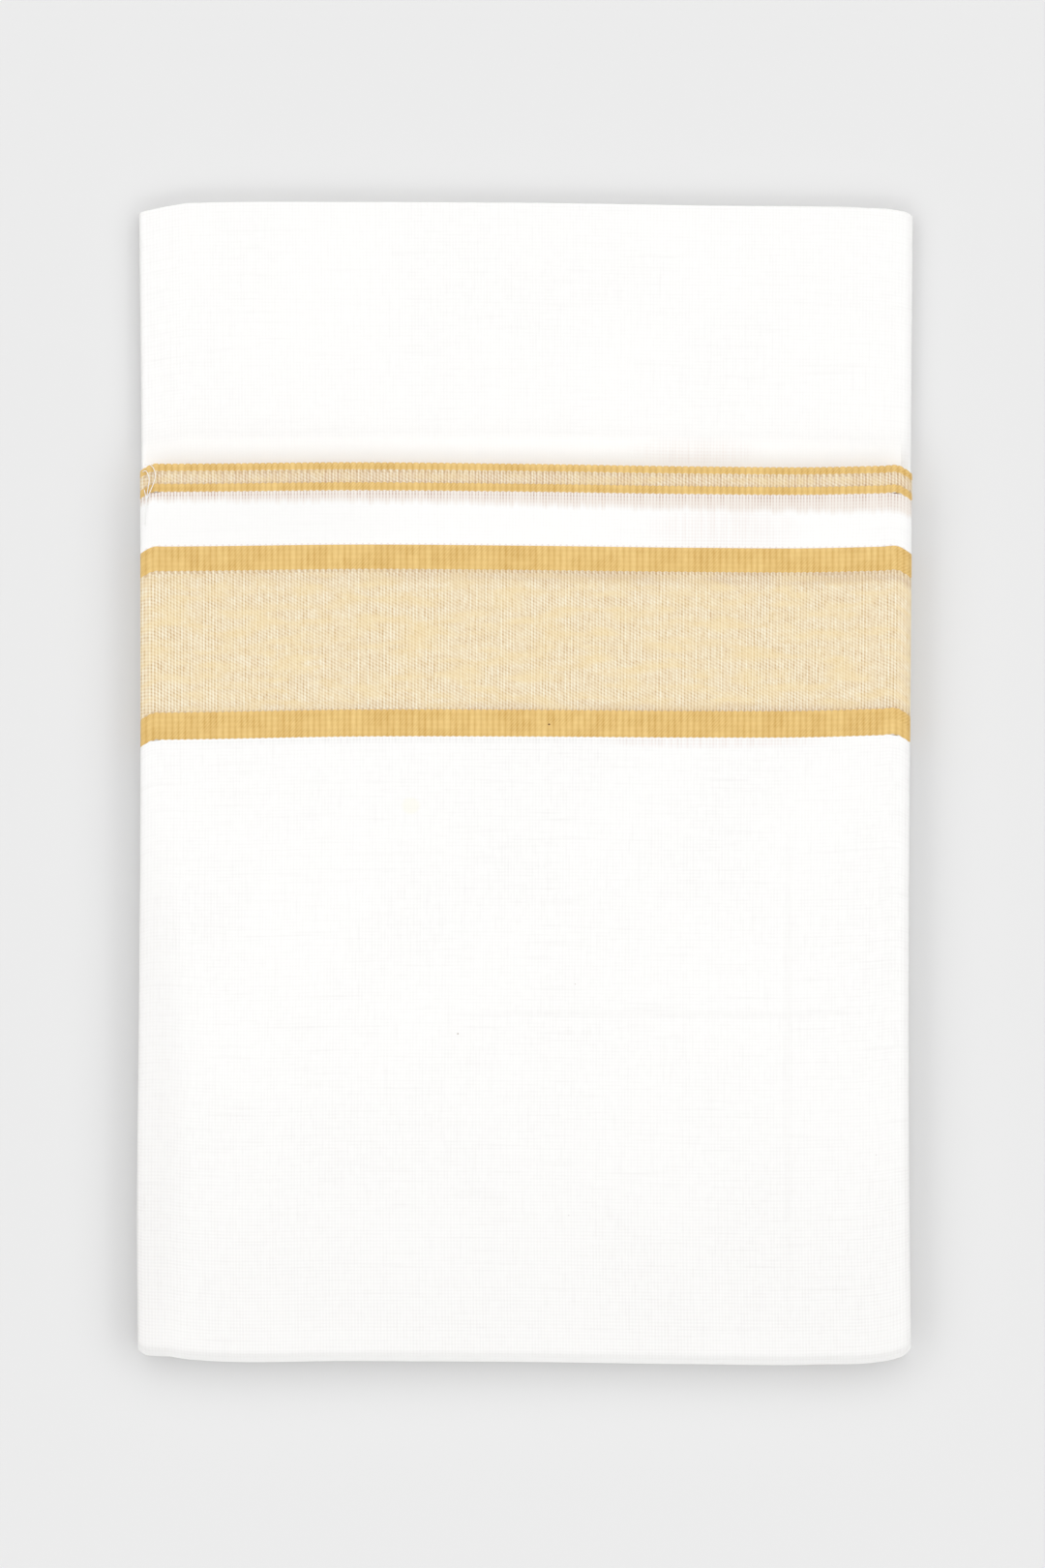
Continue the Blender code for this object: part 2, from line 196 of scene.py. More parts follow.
@dataclass(frozen=True)
class Packet:
    """The packet's sizes, and the bending of the strip into it.

    Attributes:
        width: its width in the strip's own coordinates.
        leaf: the thickness of the eight panels.
        crease: the gap between the leaf and the flap.
        flap, back, bend: the cloth's lengths on the front, on the back and round the bottom.
        squash: how far the bottom bend stands out, as a share of half its height.
        swell, swell_across, swell_down: how unevenly full the packet is, and over what lengths.
        corner_thinning: how much thinner it is at its corners.
        taper: how much narrower the borders are at the middle than at the left, as a share.
        borders: how far down both borders reach.
        half_length: from its middle to its top and bottom.
    """

    width: float = 238.4 * MM
    leaf: float = 4.6 * MM
    crease: float = 0.6 * MM
    flap: float = 277.0 * MM
    back: float = 357.0 * MM
    bend: float = 14.0 * MM
    squash: float = 0.85
    swell: float = 0.022
    corner_thinning: float = 0.05
    taper: float = 0.013
    borders: float = 85.0 * MM
    half_length: float = 180.0 * MM
    swell_across: float = 31.0 * MM
    swell_down: float = 52.0 * MM

    def fullness(self, x: Grid, y: Grid) -> Grid:
        """How full the stack is: 1 on average, a long sine swell over the packet, less at its corners.

        Args:
            x, y: places on the packet.

        Returns:
            The factor on its height there.
        """
        swell = np.sin(x / self.swell_across + 0.8) * np.cos(y / self.swell_down - 0.4)
        corner = np.clip(abs(x) / (self.width / 2), 0, 1) ** 6
        corner = corner * np.clip(abs(y) / self.half_length, 0, 1) ** 4
        return 1 + self.swell * swell - self.corner_thinning * corner

    def bend_line(self, x: Grid) -> Grid:
        """The y at which the flat leaf and flap give way to the bottom bend."""
        return curve_through(PACKET_EDGES, "x", "bottom", x) + self.squash * (self.leaf + self.crease / 2)

    def flap_y(self, x: Grid, down: Grid) -> Grid:
        """The y of a point of the flap. The borders keep their widths, and the white below takes the rest.

        Args:
            x: its place across.
            down: its distance down from the selvedge.

        Returns:
            Its y.
        """
        taper = 1 - self.taper * (1 + x / (self.width / 2))
        selvedge = curve_through(PACKET_EDGES, "x", "selvedge", x)
        foot = selvedge - taper * self.borders
        rest = (down - self.borders) / (self.flap - self.borders)
        below = foot + (self.bend_line(x) - foot) * rest
        return np.where(down < self.borders, selvedge - taper * down, below)

    def flap_path(self, down: Union[float, Grid]) -> Union[float, Grid]:
        """The path value of a place on the flap, a distance down from the selvedge."""
        return 3 - down / self.flap

    def leaf_path(self, distance: Union[float, Grid]) -> Union[float, Grid]:
        """The path value of a place on the leaf, a distance down from the top edge."""
        return distance / self.back

    def down(self, path: Grid) -> Grid:
        """The distance down from the selvedge, measured along the cloth."""
        flap = self.flap * (3 - np.clip(path, 2, 3))
        return flap + self.bend * (2 - np.clip(path, 1, 2)) + self.back * (1 - np.clip(path, -1, 1))

    def bent(self, across: Grid, path: Grid, depth: Grid) -> Grid:
        """Takes points from the strip's coordinates to the folded packet.

        The leaf lies flat with its depth measured downwards. The bend turns it half way round the crease, on
        a circle of radius depth plus half the crease, squashed in y. The flap lies on top, depth upwards.

        Args:
            across, path, depth: the strip's coordinates, in arrays that broadcast together.

        Returns:
            The points, with x, y and z along the last axis.
        """
        across, path, depth = np.broadcast_arrays(across, path, depth)
        top = curve_through(PACKET_EDGES, "x", "top", across)
        line = self.bend_line(across)
        leaf_y = top + (line - top) * np.clip(path, 0, 1)
        flap_y = self.flap_y(across, self.flap * (3 - path))
        y = np.where(path <= 1, leaf_y, np.where(path >= 2, flap_y, line))
        full = self.fullness(across, y)
        turn = np.pi * (np.clip(path, 1, 2) - 1.5)
        reach = self.crease / 2 + depth
        y = y - np.where((path > 1) & (path < 2), self.squash * reach * np.cos(turn), 0)
        z = full * (self.leaf + self.crease / 2 + reach * np.sin(turn))
        left = curve_through(PACKET_SIDES, "y", "left", y)
        right = curve_through(PACKET_SIDES, "y", "right", y)
        x = left + (right - left) * (across / self.width + 0.5)
        return np.stack([x, y, z], axis=-1)


PACKET = Packet()


CREASE_WANDER = 0.35 * MM
CREASE_WANDER_REACH = 3.4 * MM


def crease_lift(creases: tuple[Crease, ...], x: Grid, y: Grid) -> Grid:
    """The height of the pressed ridges and troughs.

    Each is a bell across its line, height times exp(-(distance / width)^2), on a line that wanders by a sine,
    and it fades in and out over the first and last sixth of its length.

    Args:
        creases: the ridges and troughs.
        x, y: where to read them.

    Returns:
        Their height there, in metres.
    """
    lift = np.zeros(np.broadcast(x, y).shape)
    for crease in creases:
        start, end = np.array(crease.start), np.array(crease.end)
        length = float(np.hypot(*(end - start)))
        run = (end - start) / length
        along = (x - start[0]) * run[0] + (y - start[1]) * run[1]
        aside = (y - start[1]) * run[0] - (x - start[0]) * run[1]
        aside = aside + CREASE_WANDER * np.sin(along / CREASE_WANDER_REACH)
        fade = smooth_step(along, 0, length / 6) * (1 - smooth_step(along, length * 5 / 6, length))
        lift += crease.height * fade * np.exp(-((aside / crease.width) ** 2))
    return lift


class Sway(NamedTuple):
    """A sine along the cloth: its height, its millimetres for each radian, and its start in radians."""

    height: float
    reach: float
    start: float = 0.0


RIB_SWAYS = (Sway(height=0.35, reach=37.0, start=1.3), Sway(height=0.16, reach=11.7))
THREAD_SWAYS = (Sway(height=0.4, reach=13.0),)
PICK_SWAYS = (Sway(height=0.3, reach=19.0),)
FOLD_SWAYS = (Sway(height=0.24, reach=71.0, start=0.4), Sway(height=0.08, reach=17.3))
RAW_SWAYS = (
    Sway(height=0.2, reach=23.0, start=0.7),
    Sway(height=0.13, reach=6.1),
    Sway(height=0.09, reach=2.3, start=1.0),
)
RAW_PLY_SWAYS = (Sway(height=0.3, reach=31.0), Sway(height=0.12, reach=4.7))
SELVEDGE_PLY_SWAYS = (Sway(height=1.6, reach=76.0), Sway(height=0.12, reach=9.0))
RIB_PITCH = 1.93  # millimetres, as the next two are
THREAD_PITCH = 0.97  # from one thread that shows to the next
PICK_PITCH = 1.05  # and from one row to the next


def swayed(value: Varying, mm: Varying, sways: tuple[Sway, ...]) -> Varying:
    """A value with sines added to it.

    Args:
        value: the value without them.
        mm: the distance along the cloth or down it, in millimetres.
        sways: the sines.

    Returns:
        The value plus height * sin(mm / reach + start) for each.
    """
    for sway in sways:
        turn = mm / sway.reach + sway.start
        value = (turn.sine() if isinstance(turn, Field) else np.sin(turn)) * sway.height + value
    return value


def rib_phase(mm: Varying) -> Varying:
    """Which rib of a border lies at a place along the cloth, as a number that is whole in the grooves."""
    return swayed(mm / RIB_PITCH, mm, RIB_SWAYS)


class Side(Enum):
    """A side of the packet."""

    LEFT = -1
    RIGHT = 1


class Section(NamedTuple):
    """A line across the stack, through the middle of a panel.

    A point that lies a distance off it, to the cloth's face side, is at across + distance * lean_across and
    depth + distance * lean_depth. The recess is how far the selvedge stops short there.
    """

    across: Grid
    depth: Grid
    lean_across: Grid
    lean_depth: Grid
    recess: Grid

    def joined(self, other: "Section") -> "Section":
        """This line followed by another that starts where it ends."""
        return Section(*(np.concatenate([a, b[1:]]) for a, b in zip(self, other)))

    def distance(self) -> Grid:
        """The distance along the line, from its start."""
        steps = np.hypot(np.diff(self.across), np.diff(self.depth))
        return np.concatenate([[0.0], np.cumsum(steps)])


SELVEDGE_RECESS = {1: 4.3, 2: 5.0, 3: 5.2, 4: 4.2, 5: 4.6, 6: 4.4, 7: 3.3, 8: 0.0}  # by panel, in millimetres


@dataclass(frozen=True)
class Stack:
    """Eight panels of two plies, and the side folds that join them.

    Panels are counted from the crease, 1, to the outer face, 8. At the right, each panel folds into the one
    that is as far from the other face: 1 with 8, 2 with 7, 3 with 6 and 4 with 5. At the left, 5 folds round
    into 8 with 6 and 7 inside it, 1 folds into 2, and 3 and 4 end in the cloth's two raw ends.

    Attributes:
        panels: how many there are.
        half_ply_pair: half the thickness of two plies.
        nose: how far in from the edge the outermost side folds begin to round.
        first_left_nose: the same for the fold of panels 1 and 2.
        first_left_inset: how far in from the edge that fold is.
        turn_points: the points of a side fold.
    """

    panels: int = 8
    half_ply_pair: float = 0.25 * MM
    nose: float = 3.3 * MM
    first_left_nose: float = 1.5 * MM
    first_left_inset: float = 0.5 * MM
    turn_points: int = 13

    @property
    def pitch(self) -> float:
        """The height from one panel to the next."""
        return PACKET.leaf / self.panels

    def level(self, panel: int) -> float:
        """The depth of a panel's middle."""
        return (panel - 0.5) * self.pitch

    def fold_start(self, side: Side, first: bool = False) -> float:
        """Where, across the packet, panels begin to round into a side fold.

        Args:
            side: which side fold.
            first: whether it is the narrow fold of panels 1 and 2.

        Returns:
            The place across.
        """
        if first:
            return -PACKET.width / 2 + self.first_left_inset + self.first_left_nose
        return side.value * (PACKET.width / 2 - self.nose)

    def run(self, panel: int, columns: Grid) -> Section:
        """A panel's flat stretch.

        Args:
            panel: which panel, 1 to 8.
            columns: places across the packet, in the order that the cloth runs.

        Returns:
            The stretch's line.
        """
        heading = np.sign(columns[-1] - columns[0])
        flat = np.zeros(len(columns))
        recess = flat + SELVEDGE_RECESS[panel] * MM
        return Section(columns, flat + self.level(panel), flat, flat + heading, recess)

    def turn(self, side: Side, start: int, end: int) -> Section:
        """The side fold from one panel to another: half an ellipse about the level half way between them.

        The point at angle t is (a cos t, b sin t) from its centre. An offset to the face side adds to a and b
        where the fold turns clockwise, and takes from them where it turns the other way. The selvedge keeps
        the outer panel's recess over the upper half of the fold, and eases to the other's over the rest.

        Args:
            side: which side fold.
            start, end: the panels that it joins, in the order that the cloth runs.

        Returns:
            The fold's line.
        """
        rising = end > start
        angle = np.linspace(-np.pi / 2, np.pi / 2, self.turn_points) * (1 if rising else -1)
        outward = 1.0 if rising == (side is Side.LEFT) else -1.0
        middle = (self.level(start) + self.level(end)) / 2
        reach = abs(self.level(end) - self.level(start)) / 2
        first = side is Side.LEFT and {start, end} == {1, 2}
        wrapped = min(start, end) - 1 if side is Side.RIGHT else self.panels - max(start, end)
        span = self.first_left_nose if first else self.nose - wrapped * self.pitch
        span -= self.pitch / 2
        across = self.fold_start(side, first) + side.value * span * np.cos(angle)
        low, high = (SELVEDGE_RECESS[panel] * MM for panel in sorted((start, end)))
        return Section(
            across,
            middle + reach * np.sin(angle),
            side.value * outward * np.cos(angle),
            outward * np.sin(angle),
            low + (high - low) * smooth_step(angle, -np.pi / 2, 0.1),
        )


STACK = Stack()
TOP_FOLD_ROWS = np.array([0, 0.6, 1.3, 2.4, 4, 6]) * MM  # distances below the top edge, close at its fold
LAST_LEAF_PATH = 0.985  # the leaf's last row before the bend
BEND_PATHS = np.linspace(1, 2, 29)  # the rows round the bottom bend
# Rows as distances down from the selvedge: close where a stripe begins or ends, and at the selvedge.
WIDE_BORDER_ROWS = np.concatenate([
    [85, 84.8, 84.5, 83.4, 82.0, 80.5, 79.0, 77.4, 76.9, 76.7, 76.5, 76.1],
    np.linspace(73.5, 36.4, 15),
    [33.8, 33.4, 33.2, 33.0, 32.6, 31.2, 29.8, 28.4, 27.1, 26.0, 25.7, 25.5],
]) * MM
NARROW_BORDER_ROWS = np.array([
    8.8, 8.6, 8.3, 7.6, 7.0, 6.5, 6.3, 6.1, 5.2, 4.2, 3.2, 2.5, 2.3, 2.1, 1.6, 1.0, 0.5, 0.2, 0,
]) * MM
PANEL_FOOT_ROWS = np.array([
    85, 81, 76.7, 65, 50, 40, 33.2, 29, 25.5, 20, 16, 12.5, 8.8, 6.3, 4, 2.3, 1, 0.3, 0,
]) * MM
LEVELS = np.array([-1, -0.8, -0.45, -0.12, -0.04, 0.04, 0.12, 0.45, 0.8, 1.0])  # through a panel's two plies


class Edge(Enum):
    """How a stretch of cloth ends."""

    SEAM = "seam"  # it runs on into the next stretch
    FOLD = "fold"  # both plies join in a pressed fold
    SELVEDGE = "selvedge"  # each ply ends in its woven edge
    RAW = "raw"  # each ply ends where it was cut off the loom


@dataclass(frozen=True)
class EdgeShape:
    """How far each level of a panel stops short of its end, for each way of ending.

    Attributes:
        fold_nose: how rounded a pressed fold is.
        lip: how rounded the end of each ply is.
        slit: how deep the plies part.
        serration: how far the ribs make the selvedge toothed.
        ply_middle: the level of the outer ply's middle.
        fold_gap, raw_gap: how far those ends stop short, in millimetres, before they sway.
        raw_ply_gap, selvedge_ply_gap: how far the inner ply stops short of the outer one, in the same way.
    """

    fold_nose: float = 0.40 * MM
    lip: float = 0.11 * MM
    slit: float = 1.6 * MM
    serration: float = 0.11 * MM
    ply_middle: float = 0.56
    fold_gap: float = 0.35
    raw_gap: float = 0.35
    raw_ply_gap: float = 0.45
    selvedge_ply_gap: float = 4.0

    def lips(self, second_ply: Grid) -> Grid:
        """Two rounded lips with a slit between: 1 - sqrt(1 - t^2) from the middle of each ply to its faces.

        Args:
            second_ply: how far the inner ply stops short of the outer one, along the edge.

        Returns:
            The insets, with places along the edge first and levels second.
        """
        t = np.clip((abs(LEVELS) - self.ply_middle) / (1 - self.ply_middle), -1, 1)
        lip = self.lip * (1 - np.sqrt(1 - t * t))
        inner = np.where(LEVELS < 0, 1.0, 0.0)
        in_slit = abs(LEVELS) < 0.1
        insets = lip + second_ply[:, None] * np.where(in_slit, 1.0, inner)
        return insets + np.where(in_slit, self.slit, 0)

    def insets(self, edge: Edge, along: Grid) -> Grid:
        """The insets of an edge, at places along it.

        Args:
            edge: how the stretch ends.
            along: the distances along the edge.

        Returns:
            The insets, in metres, with places first and levels second.
        """
        mm = along / MM
        if edge is Edge.SEAM:
            return np.zeros((len(along), len(LEVELS)))
        if edge is Edge.FOLD:
            gap = swayed(self.fold_gap, mm, FOLD_SWAYS)
            return gap[:, None] * MM + self.fold_nose * (1 - np.sqrt(1 - LEVELS**2))
        if edge is Edge.RAW:
            gap = swayed(self.raw_gap, mm, RAW_SWAYS)
            second = swayed(self.raw_ply_gap, mm, RAW_PLY_SWAYS)
            return gap[:, None] * MM + self.lips(second * MM)
        second = swayed(self.selvedge_ply_gap, mm, SELVEDGE_PLY_SWAYS)
        tooth = self.serration * (1 - abs(np.sin(np.pi * rib_phase(mm))))
        return self.lips(second * MM) + tooth[:, None]


EDGES = EdgeShape()


class Stripe(NamedTuple):
    """A stripe of a border, by its distances down from the selvedge."""

    start: float
    end: float
    ribbed: bool


NARROW_STRIPES = (
    Stripe(start=0.0 * MM, end=2.3 * MM, ribbed=True),
    Stripe(start=2.3 * MM, end=6.3 * MM, ribbed=False),
    Stripe(start=6.3 * MM, end=8.8 * MM, ribbed=True),
)
WIDE_STRIPES = (
    Stripe(start=25.5 * MM, end=33.2 * MM, ribbed=True),
    Stripe(start=33.2 * MM, end=76.7 * MM, ribbed=False),
    Stripe(start=76.7 * MM, end=85.0 * MM, ribbed=True),
)
SHADED_STRIPE = 10 * MM  # a pale stripe wider than this is greyer beside the gold


class Relief(NamedTuple):
    """A field of small heights on a sheet's face.

    Attributes:
        creases: its pressed ridges and troughs.
        stripes: the border stripes that stand up on it.
        thickness: how much thicker the cloth is in a stripe.
        rib_height, pale_height: how much more a rib of a gold stripe and a pale stripe stand up.
        ease: how far in from a stripe's ends it reaches that height.
    """

    creases: tuple[Crease, ...] = ()
    stripes: tuple[Stripe, ...] = ()
    thickness: float = 0.05 * MM
    rib_height: float = 0.075 * MM
    pale_height: float = 0.02 * MM
    ease: float = 0.4 * MM

    def height(self, across: Grid, path: Grid, along: Grid) -> Grid:
        """The height of the face at each place: its pressed ridges, and the ribs of its gold stripes.

        A rib is an arch, the absolute sine of half a turn per pitch, and it fades to nothing at a stripe's
        ends, as the stripe's extra thickness does.

        Args:
            across, path: the place in the strip's coordinates.
            along: the distance along the cloth.

        Returns:
            The heights, in metres.
        """
        down = PACKET.down(path)
        place = PACKET.bent(across, path, 0.0)
        on_side = path <= 1 if down[..., 0].max() > PACKET.flap else path >= 2
        lift = np.where(on_side, crease_lift(self.creases, place[..., 0], place[..., 1]), 0.0)
        arch = abs(np.sin(np.pi * rib_phase(along / MM)))
        for stripe in self.stripes:
            inside = smooth_step(down, stripe.start, stripe.start + self.ease)
            inside = inside * (1 - smooth_step(down, stripe.end - self.ease, stripe.end))
            rise = self.rib_height * arch if stripe.ribbed else self.pale_height
            lift = lift + inside * (self.thickness + rise)
        return lift


def shell_quads(counts: tuple[int, int, int]) -> tuple[Grid, Grid]:
    """The quads on the six sides of a box of points.

    Args:
        counts: how many points the box has each way.

    Returns:
        The quads, as places in the list of used points, and the used points' places in the box.
    """
    index = np.arange(np.prod(counts)).reshape(counts)
    quads = []
    for axis in range(3):
        near, far = (np.take(index, end, axis=axis) for end in (0, -1))
        for side, flip in ((near, axis != 1), (far, axis == 1)):
            ring = [side[:-1, :-1], side[1:, :-1], side[1:, 1:], side[:-1, 1:]]
            quads.append(np.stack(ring[::-1] if flip else ring, axis=-1).reshape(-1, 4))
    used, quads = np.unique(np.concatenate(quads), return_inverse=True)
    return quads.reshape(-1, 4), used


def enclosed_volume(points: Grid, quads: Grid) -> float:
    """The volume inside a closed mesh of quads, negative if its faces point inwards."""
    a, b, c, d = (points[quads[:, corner]] for corner in range(4))
    return float((a * (np.cross(b, c) + np.cross(c, d))).sum() / 6)


def quad_object(
    name: str, points: Grid, quads: Grid, cloth: Grid, material: bpy.types.Material
) -> bpy.types.Object:
    """A smooth mesh of quads with a UV map named "cloth".

    Args:
        name: the piece's name.
        points: its vertices.
        quads: its faces.
        cloth: each vertex's distance along the cloth and down from the selvedge.
        material: its finish.

    Returns:
        The object, linked to the scene.
    """
    mesh = bpy.data.meshes.new(name)
    mesh.vertices.add(len(points))
    mesh.vertices.foreach_set("co", points.astype(np.float32).ravel())
    mesh.loops.add(quads.size)
    mesh.loops.foreach_set("vertex_index", quads.astype(np.int32).ravel())
    mesh.polygons.add(len(quads))
    mesh.polygons.foreach_set("loop_start", np.arange(0, quads.size, 4, dtype=np.int32))
    mesh.update(calc_edges=True)
    uv = mesh.uv_layers.new(name="cloth")
    uv.data.foreach_set("uv", cloth[quads.ravel()].astype(np.float32).ravel())
    mesh.shade_smooth()
    mesh.set_sharp_from_angle(angle=SHARP_FROM)
    mesh.materials.append(material)
    mesh.validate()
    piece = bpy.data.objects.new(name, mesh)
    bpy.context.scene.collection.objects.link(piece)
    return piece


@dataclass(frozen=True)
class Sheet:
    """A stretch of the doubled cloth, as one closed thin shell.

    Attributes:
        name: the piece's name.
        section: its line across the stack.
        stations: path values, from the end nearer the top edge to the end nearer the selvedge.
        origin: the distance along the cloth at the start of the line.
        top, foot: how it ends at its first and at its last station.
        start, end: how the line itself begins and ends.
        relief: the small heights of its face.
        top_reach, foot_reach: how far in from those ends the plies shift, so that each ends at its own place.
        raw_shift: how far the raggedness of a raw end is shifted from that of a raw start.
        most: the share of its reach that an inset can be.
    """

    name: str
    section: Section
    stations: Grid
    origin: float
    top: Edge = Edge.SEAM
    foot: Edge = Edge.SEAM
    start: Edge = Edge.SEAM
    end: Edge = Edge.SEAM
    relief: Relief = Relief()
    top_reach: float = 6 * MM
    foot_reach: float = 16 * MM
    raw_shift: float = 3 * MM
    most: float = 0.9

    def build(self, material: bpy.types.Material) -> bpy.types.Object:
        """Lays the shell out in the strip, shapes its edges and bends it.

        Its points are a box: along the line, along the path, and through the two plies. Point (i, j, k) lies
        off the line by LEVELS[k] half thicknesses, and the face side also by the relief.

        Args:
            material: the cloth's finish.

        Returns:
            The finished object.
        """
        line = self.section
        along = self.origin + line.distance()
        down = PACKET.down(self.stations)
        path = self.stations[None, :, None] + self._shift(along, down)
        height = self.relief.height(line.across[:, None], self.stations[None, :], along[:, None])
        offset = STACK.half_ply_pair * LEVELS + height[:, :, None] * np.clip(LEVELS, 0, 1) ** 2
        across = line.across[:, None, None] + offset * line.lean_across[:, None, None]
        depth = line.depth[:, None, None] + offset * line.lean_depth[:, None, None]
        if self.start is Edge.RAW:
            across[0] += EDGES.insets(Edge.RAW, down)
        if self.end is Edge.RAW:
            across[-1] += EDGES.insets(Edge.RAW, down + self.raw_shift)
        points = PACKET.bent(across, path, depth)
        quads, used = shell_quads(points.shape[:3])
        cloth = np.stack(np.broadcast_arrays(along[:, None, None], down[None, :, None]), axis=-1)
        cloth = np.broadcast_to(cloth, points.shape[:3] + (2,)).reshape(-1, 2)[used]
        points = points.reshape(-1, 3)[used]
        if enclosed_volume(points, quads) < 0:
            quads = quads[:, ::-1]
        return quad_object(self.name, points, quads, cloth, material)

    def _shift(self, along: Grid, down: Grid) -> Grid:
        """How far each point's path value moves for its ply to end where it does.

        The whole inset applies at the end itself, and it fades in a straight line to nothing over the reach.

        Args:
            along: the distances along the cloth.
            down: the stations' distances down from the selvedge.

        Returns:
            The changes of path, for each place along the line, station and level.
        """
        top_fade = np.clip(1 - (down[0] - down) / self.top_reach, 0, 1)
        foot_fade = np.clip(1 - (down - down[-1]) / self.foot_reach, 0, 1)
        top = np.minimum(EDGES.insets(self.top, along), self.most * self.top_reach)
        foot = EDGES.insets(self.foot, along)
        if self.foot is not Edge.SEAM:
            foot = np.minimum(foot + self.section.recess[:, None], self.most * self.foot_reach)
        shift = top[:, None, :] * top_fade[None, :, None] / PACKET.back
        return shift - foot[:, None, :] * foot_fade[None, :, None] / PACKET.flap

    def flat(self) -> tuple[float, float]:
        """Its width along the cloth and its length down from the selvedge, laid flat."""
        down = PACKET.down(self.stations[[0, -1]])
        return float(self.section.distance()[-1]), float(down[0] - down[1])


COTTON_RELIEF = 0.012 * MM
BORDER_RELIEF = 0.020 * MM
STUDIO_LIGHT = 1.18  # how bright a white face that looks up appears under the studio's light


def dyed(red: int, green: int, blue: int) -> Colour:
    """The cloth's own colour, for a colour as the camera should see it on a face that looks up.

    It is the colour's linear value, by the sRGB curve, over the studio's light.

    Args:
        red, green, blue: the colour that is seen, from 0 to 255.

    Returns:
        The colour, in linear values.
    """
    seen = np.array([red, green, blue]) / 255
    linear = np.where(seen <= 0.04045, seen / 12.92, ((seen + 0.055) / 1.055) ** 2.4)
    return tuple(float(part) for part in linear / STUDIO_LIGHT)


@dataclass(frozen=True)
class Field:
    """A number that varies over the cloth: an output of a shader's nodes, with arithmetic."""

    tree: bpy.types.NodeTree
    socket: bpy.types.NodeSocket

    def _math(self, operation: str, *others: Number) -> "Field":
        """One Math node on this number and others.

        Args:
            operation: the node's operation.
            others: its other inputs, fields or plain numbers.

        Returns:
            Its result.
        """
        node = self.tree.nodes.new("ShaderNodeMath")
        node.operation = operation
        for place, value in enumerate((self, *others)):
            if isinstance(value, Field):
                self.tree.links.new(value.socket, node.inputs[place])
            else:
                node.inputs[place].default_value = value
        return Field(self.tree, node.outputs[0])

    def __add__(self, other: Number) -> "Field":
        """The sum."""
        return self._math("ADD", other)

    def __sub__(self, other: Number) -> "Field":
        """The difference."""
        return self._math("SUBTRACT", other)

    def __mul__(self, other: Number) -> "Field":
        """The product."""
        return self._math("MULTIPLY", other)

    def __truediv__(self, other: Number) -> "Field":
        """The quotient."""
        return self._math("DIVIDE", other)

    def flipped(self) -> "Field":
        """One less this number."""
        return self._math("MULTIPLY", -1.0) + 1.0

    def sine(self) -> "Field":
        """Its sine, in radians."""
        return self._math("SINE")

    def size(self) -> "Field":
        """Its absolute value."""
        return self._math("ABSOLUTE")

    def whole(self) -> "Field":
        """The whole number below it."""
        return self._math("FLOOR")

    def power(self, exponent: float) -> "Field":
        """This number to a power."""
        return self._math("POWER", exponent)

    def wave(self) -> "Field":
        """A cosine from 0 to 1 that repeats at each whole number and is 1 there."""
        return (self * TAU)._math("COSINE") * 0.5 + 0.5

    def step(self, low: float, high: float) -> "Field":
        """0 below low, 1 above high, eased between them.

        Args:
            low, high: the two limits.

        Returns:
            The eased step.
        """
        node = self.tree.nodes.new("ShaderNodeMapRange")
        node.interpolation_type = "SMOOTHSTEP"
        self.tree.links.new(self.socket, node.inputs["Value"])
        node.inputs["From Min"].default_value = low
        node.inputs["From Max"].default_value = high
        return Field(self.tree, node.outputs[0])

    def between(self, low: float, high: float, soft: float) -> "Field":
        """1 between low and high, with edges as wide as soft."""
        above = self.step(low - soft / 2, low + soft / 2)
        return above * self.step(high - soft / 2, high + soft / 2).flipped()


class Mark(NamedTuple):
    """A soft oval spot, tint, painted shade or painted highlight on the cloth: its middle, half width and
    half height, in millimetres.
    """

    along: float
    down: float
    wide: float
    high: float
    colour: Colour
    strength: float
    dotted: bool = False


@dataclass(frozen=True)
class Palette:
    """The dhoti's colours."""

    white: Colour = (0.856, 0.852, 0.842)
    # painted highlight: a white brighter than the cloth, laid over places that the light leaves in shade
    painted_light_white: Colour = (0.970, 0.966, 0.954)
    thread_shadow: Colour = dyed(214, 210, 208)
    open_weave: Colour = dyed(196, 160, 142)
    under_warm: Colour = dyed(244, 235, 225)
    gold_dark: Colour = dyed(208, 164, 86)
    gold_light: Colour = dyed(245, 210, 137)
    gold_tick: Colour = dyed(178, 134, 84)
    pale_tan: Colour = dyed(206, 170, 122)
    pale: Colour = dyed(240, 221, 186)
    pale_cream: Colour = dyed(255, 248, 226)
    pale_yellow: Colour = dyed(246, 222, 168)
    pale_grey: Colour = dyed(204, 174, 144)
    narrow_brown: Colour = dyed(196, 154, 126)
    speck: Colour = dyed(112, 74, 40)
    lint: Colour = dyed(196, 186, 176)
    yellow_spot: Colour = dyed(252, 249, 222)
    pink_under: Colour = dyed(226, 200, 188)
    gold_turn: Colour = dyed(214, 172, 112)


